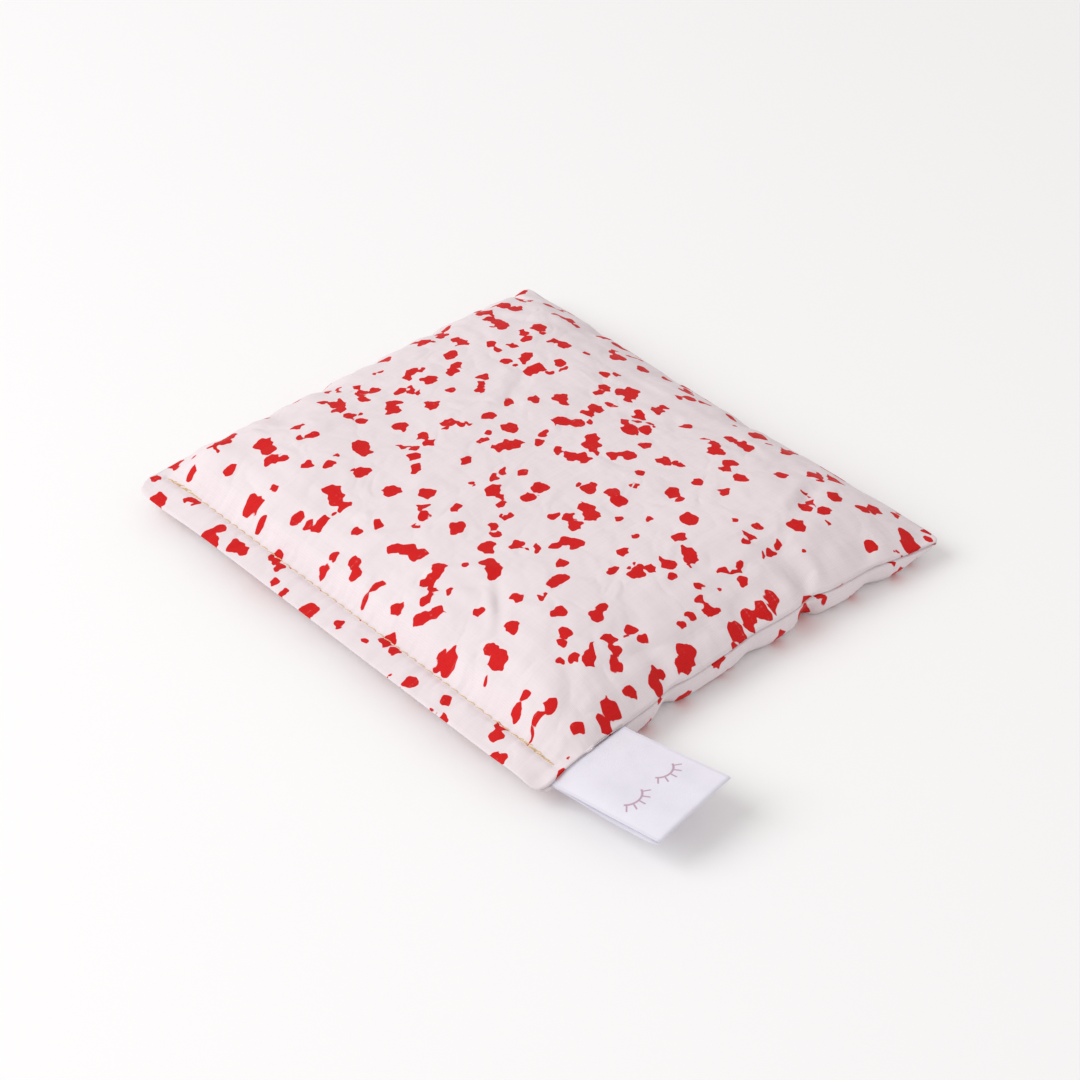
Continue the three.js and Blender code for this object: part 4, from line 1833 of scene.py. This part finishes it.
@dataclass
class GrainFilling:
    """The grain inside the pouch, heaped against both panels."""

    plan: Plan
    columns: int = 120
    rows: int = 136
    side_gap: float = 1.6
    cloth_gap: float = 0.75
    rim: float = 5.0
    kernel: float = 3.4
    kernel_depth: float = 0.55

    def half(self, panel: bpy.types.Object, side: Side) -> bpy.types.Object:
        """Makes the upper or the lower half of the heap.

        Args:
            panel: The panel that the grain presses against.
            side: The half to make.

        Returns:
            A grid whose edge lies in the seam's plane.
        """
        piece, unit = new_grid("grain_fill", self.columns, self.rows)
        left = -self.plan.half_width + self.plan.closing_allowance + self.side_gap
        right = self.plan.half_width - self.plan.side_allowance - self.side_gap
        end = self.plan.half_length - self.plan.side_allowance - self.side_gap
        flat = np.column_stack([(left + right) / 2.0 + unit[:, 0] * (right - left) / 2.0, unit[:, 1] * end])
        place = self.plan.lay(flat)
        inset = np.minimum.reduce([flat[:, 0] - left, right - flat[:, 0], end - np.abs(flat[:, 1])])
        swell = np.sqrt(np.clip(1.0 - (1.0 - np.clip(inset / self.rim, 0.0, 1.0)) ** 2, 0.0, 1.0))
        tree = surface_of(panel)
        skin = np.array([height_at(tree, x, y, side) for x, y in place])
        plane = self.plan.plane(flat)
        face = skin - side.value * self.cloth_gap
        set_points(piece, np.column_stack([place, plane + (face - plane) * swell]))
        if side is Side.LOWER:
            edit_faces(piece, bpy.ops.mesh.flip_normals)
        return piece

    def build(
        self, upper: bpy.types.Object, lower: bpy.types.Object, material: bpy.types.Material
    ) -> bpy.types.Object:
        """Builds the filling.

        Args:
            upper: The upper panel.
            lower: The lower panel.
            material: The grain's finish.

        Returns:
            The filling.
        """
        top = self.half(upper, Side.UPPER)
        base = self.half(lower, Side.LOWER)
        choose(top)
        base.select_set(True)
        bpy.ops.object.join()
        edit_faces(top, lambda: bpy.ops.mesh.remove_doubles(threshold=0.02 * MM), face_outward)
        kernels = bpy.data.textures.new("kernels", "VORONOI")
        kernels.noise_scale = self.kernel * MM
        depth = -self.kernel_depth * MM
        apply_modifier(
            top, "DISPLACE", texture=kernels, texture_coords="LOCAL", strength=depth, mid_level=0.0
        )
        choose(top)
        bpy.ops.object.shade_smooth()
        dress(top, material)
        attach(top, "pouch")
        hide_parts("grain_filling")
        return top


# ---------------------------------------------------------------- studio


@dataclass(frozen=True)
class Studio:
    """A pale floor, soft light from the hem's side, and the camera.

    The light's place and sizes and the floor's size are in metres.
    """

    azimuth: float = -42.48
    elevation: float = 38.63
    distance: float = 623.5
    target: tuple[float, float, float] = (-5.18, -7.81, 5.0)
    lens: float = 91.33
    floor_size: float = 6.0
    floor_dark: Colour = (0.95, 0.95, 0.95, 1.0)
    floor_light: Colour = (0.96, 0.96, 0.96, 1.0)
    key_place: tuple[float, float, float] = (-0.88, 0.50, 0.92)
    key_size: float = 1.1
    key_power: float = 9.8
    key_color: tuple[float, float, float] = (0.98, 0.99, 1.0)
    fill_strength: float = 0.70
    fill_color: Colour = (1.0, 0.968, 0.960, 1.0)

    def place_camera(self) -> None:
        """Makes the camera and aims it."""
        turn, tilt = math.radians(self.azimuth), math.radians(self.elevation)
        back = Vector((math.sin(turn) * math.cos(tilt), -math.cos(turn) * math.cos(tilt), math.sin(tilt)))
        data = bpy.data.cameras.new("camera")
        data.lens = self.lens
        data.sensor_width = 36.0
        data.clip_start = 0.01
        data.clip_end = 20.0
        camera = bpy.data.objects.new("camera", data)
        bpy.context.scene.collection.objects.link(camera)
        camera.location = (Vector(self.target) + back * self.distance) * MM
        camera.rotation_euler = back.to_track_quat("Z", "Y").to_euler()
        bpy.context.scene.camera = camera

    def lay_floor(self) -> None:
        """Lays the floor."""
        bpy.ops.object.select_all(action="DESELECT")
        bpy.ops.mesh.primitive_plane_add(size=self.floor_size)
        floor = bpy.context.object
        floor.name = "floor"
        material, nodes, shader = start_material("pale_floor", specular_ior_level=0.1)
        place = nodes.add("TexCoord").outputs["Object"]
        tone = nodes.noise(place, 3.0, 1.0)
        nodes.feed(shader.inputs["Base Color"], nodes.mix(tone, self.floor_dark, self.floor_light))
        nodes.feed(shader.inputs["Roughness"], nodes.sum("MULTIPLY_ADD", tone, 0.1, 0.85))
        dress(floor, material)

    def light(self) -> None:
        """Hangs the key light and sets the even light all round."""
        data = bpy.data.lights.new("key", "AREA")
        data.shape = "DISK"
        data.size = self.key_size
        data.energy = self.key_power
        data.color = self.key_color
        key = bpy.data.objects.new("key", data)
        bpy.context.scene.collection.objects.link(key)
        key.location = self.key_place
        key.rotation_euler = key.location.to_track_quat("Z", "Y").to_euler()
        world = bpy.data.worlds.new("studio")
        world.use_nodes = True
        background = world.node_tree.nodes["Background"]
        background.inputs["Color"].default_value = self.fill_color
        background.inputs["Strength"].default_value = self.fill_strength
        bpy.context.scene.world = world
        bpy.context.scene.view_settings.view_transform = "Standard"

    def build(self) -> None:
        """Sets up the whole studio."""
        self.place_camera()
        self.lay_floor()
        self.light()


# ---------------------------------------------------------------- assembly


def main() -> None:
    """Builds the pillow piece by piece."""
    Studio().build()
    plan = Plan.from_frame()
    stitching = HemStitching()
    groups = SharedGroups(weave=weave_group(), pebbles=pebble_group())
    cotton = {  # each panel is cut from another place on the same cloth
        Side.UPPER: PrintedCotton(groups, "printed_cotton_upper", (0.0, 0.0, 0.0)).make(),
        Side.LOWER: PrintedCotton(groups, "printed_cotton_lower", (163.0, 212.0, 0.0)).make(),
    }
    thread = SewingThread().make()
    upper = CoverPanel(plan, Side.UPPER, "cover_top", "top_panel", stitching)
    lower = CoverPanel(plan, Side.LOWER, "cover_bottom", "bottom_panel", stitching)
    settled = ClothPress().run([upper, lower])
    built = {
        panel.side: panel.build(settled.get(panel.side), cotton[panel.side]) for panel in (upper, lower)
    }
    pieces = [*built.values()]
    pieces.append(GrainFilling(plan).build(built[Side.UPPER], built[Side.LOWER], Grain().make()))
    closing = Topstitching(plan, stitching, Strand())
    seam = SeamThread(plan, Strand(sides=6))
    for side, stitch_name, seam_name, kind in (  # the needle's thread is on top, the bobbin's below
        (Side.UPPER, "topstitch", "seam_thread_upper", "needle"),
        (Side.LOWER, "understitch", "seam_thread_lower", "bobbin"),
    ):
        pieces.append(closing.build(built[side], side, stitch_name, f"closing_{kind}_thread", thread))
        pieces.append(seam.build(built[side], side, seam_name, f"seam_{kind}_thread", thread))
    label = RibbonLabel(plan)
    pieces.append(label.build(SatinRibbon(groups, label.width, label.reach).make()))
    for piece in pieces:
        log.info("built %s with %d faces", piece.name, len(piece.data.polygons))


if __name__ == "__main__":
    main()
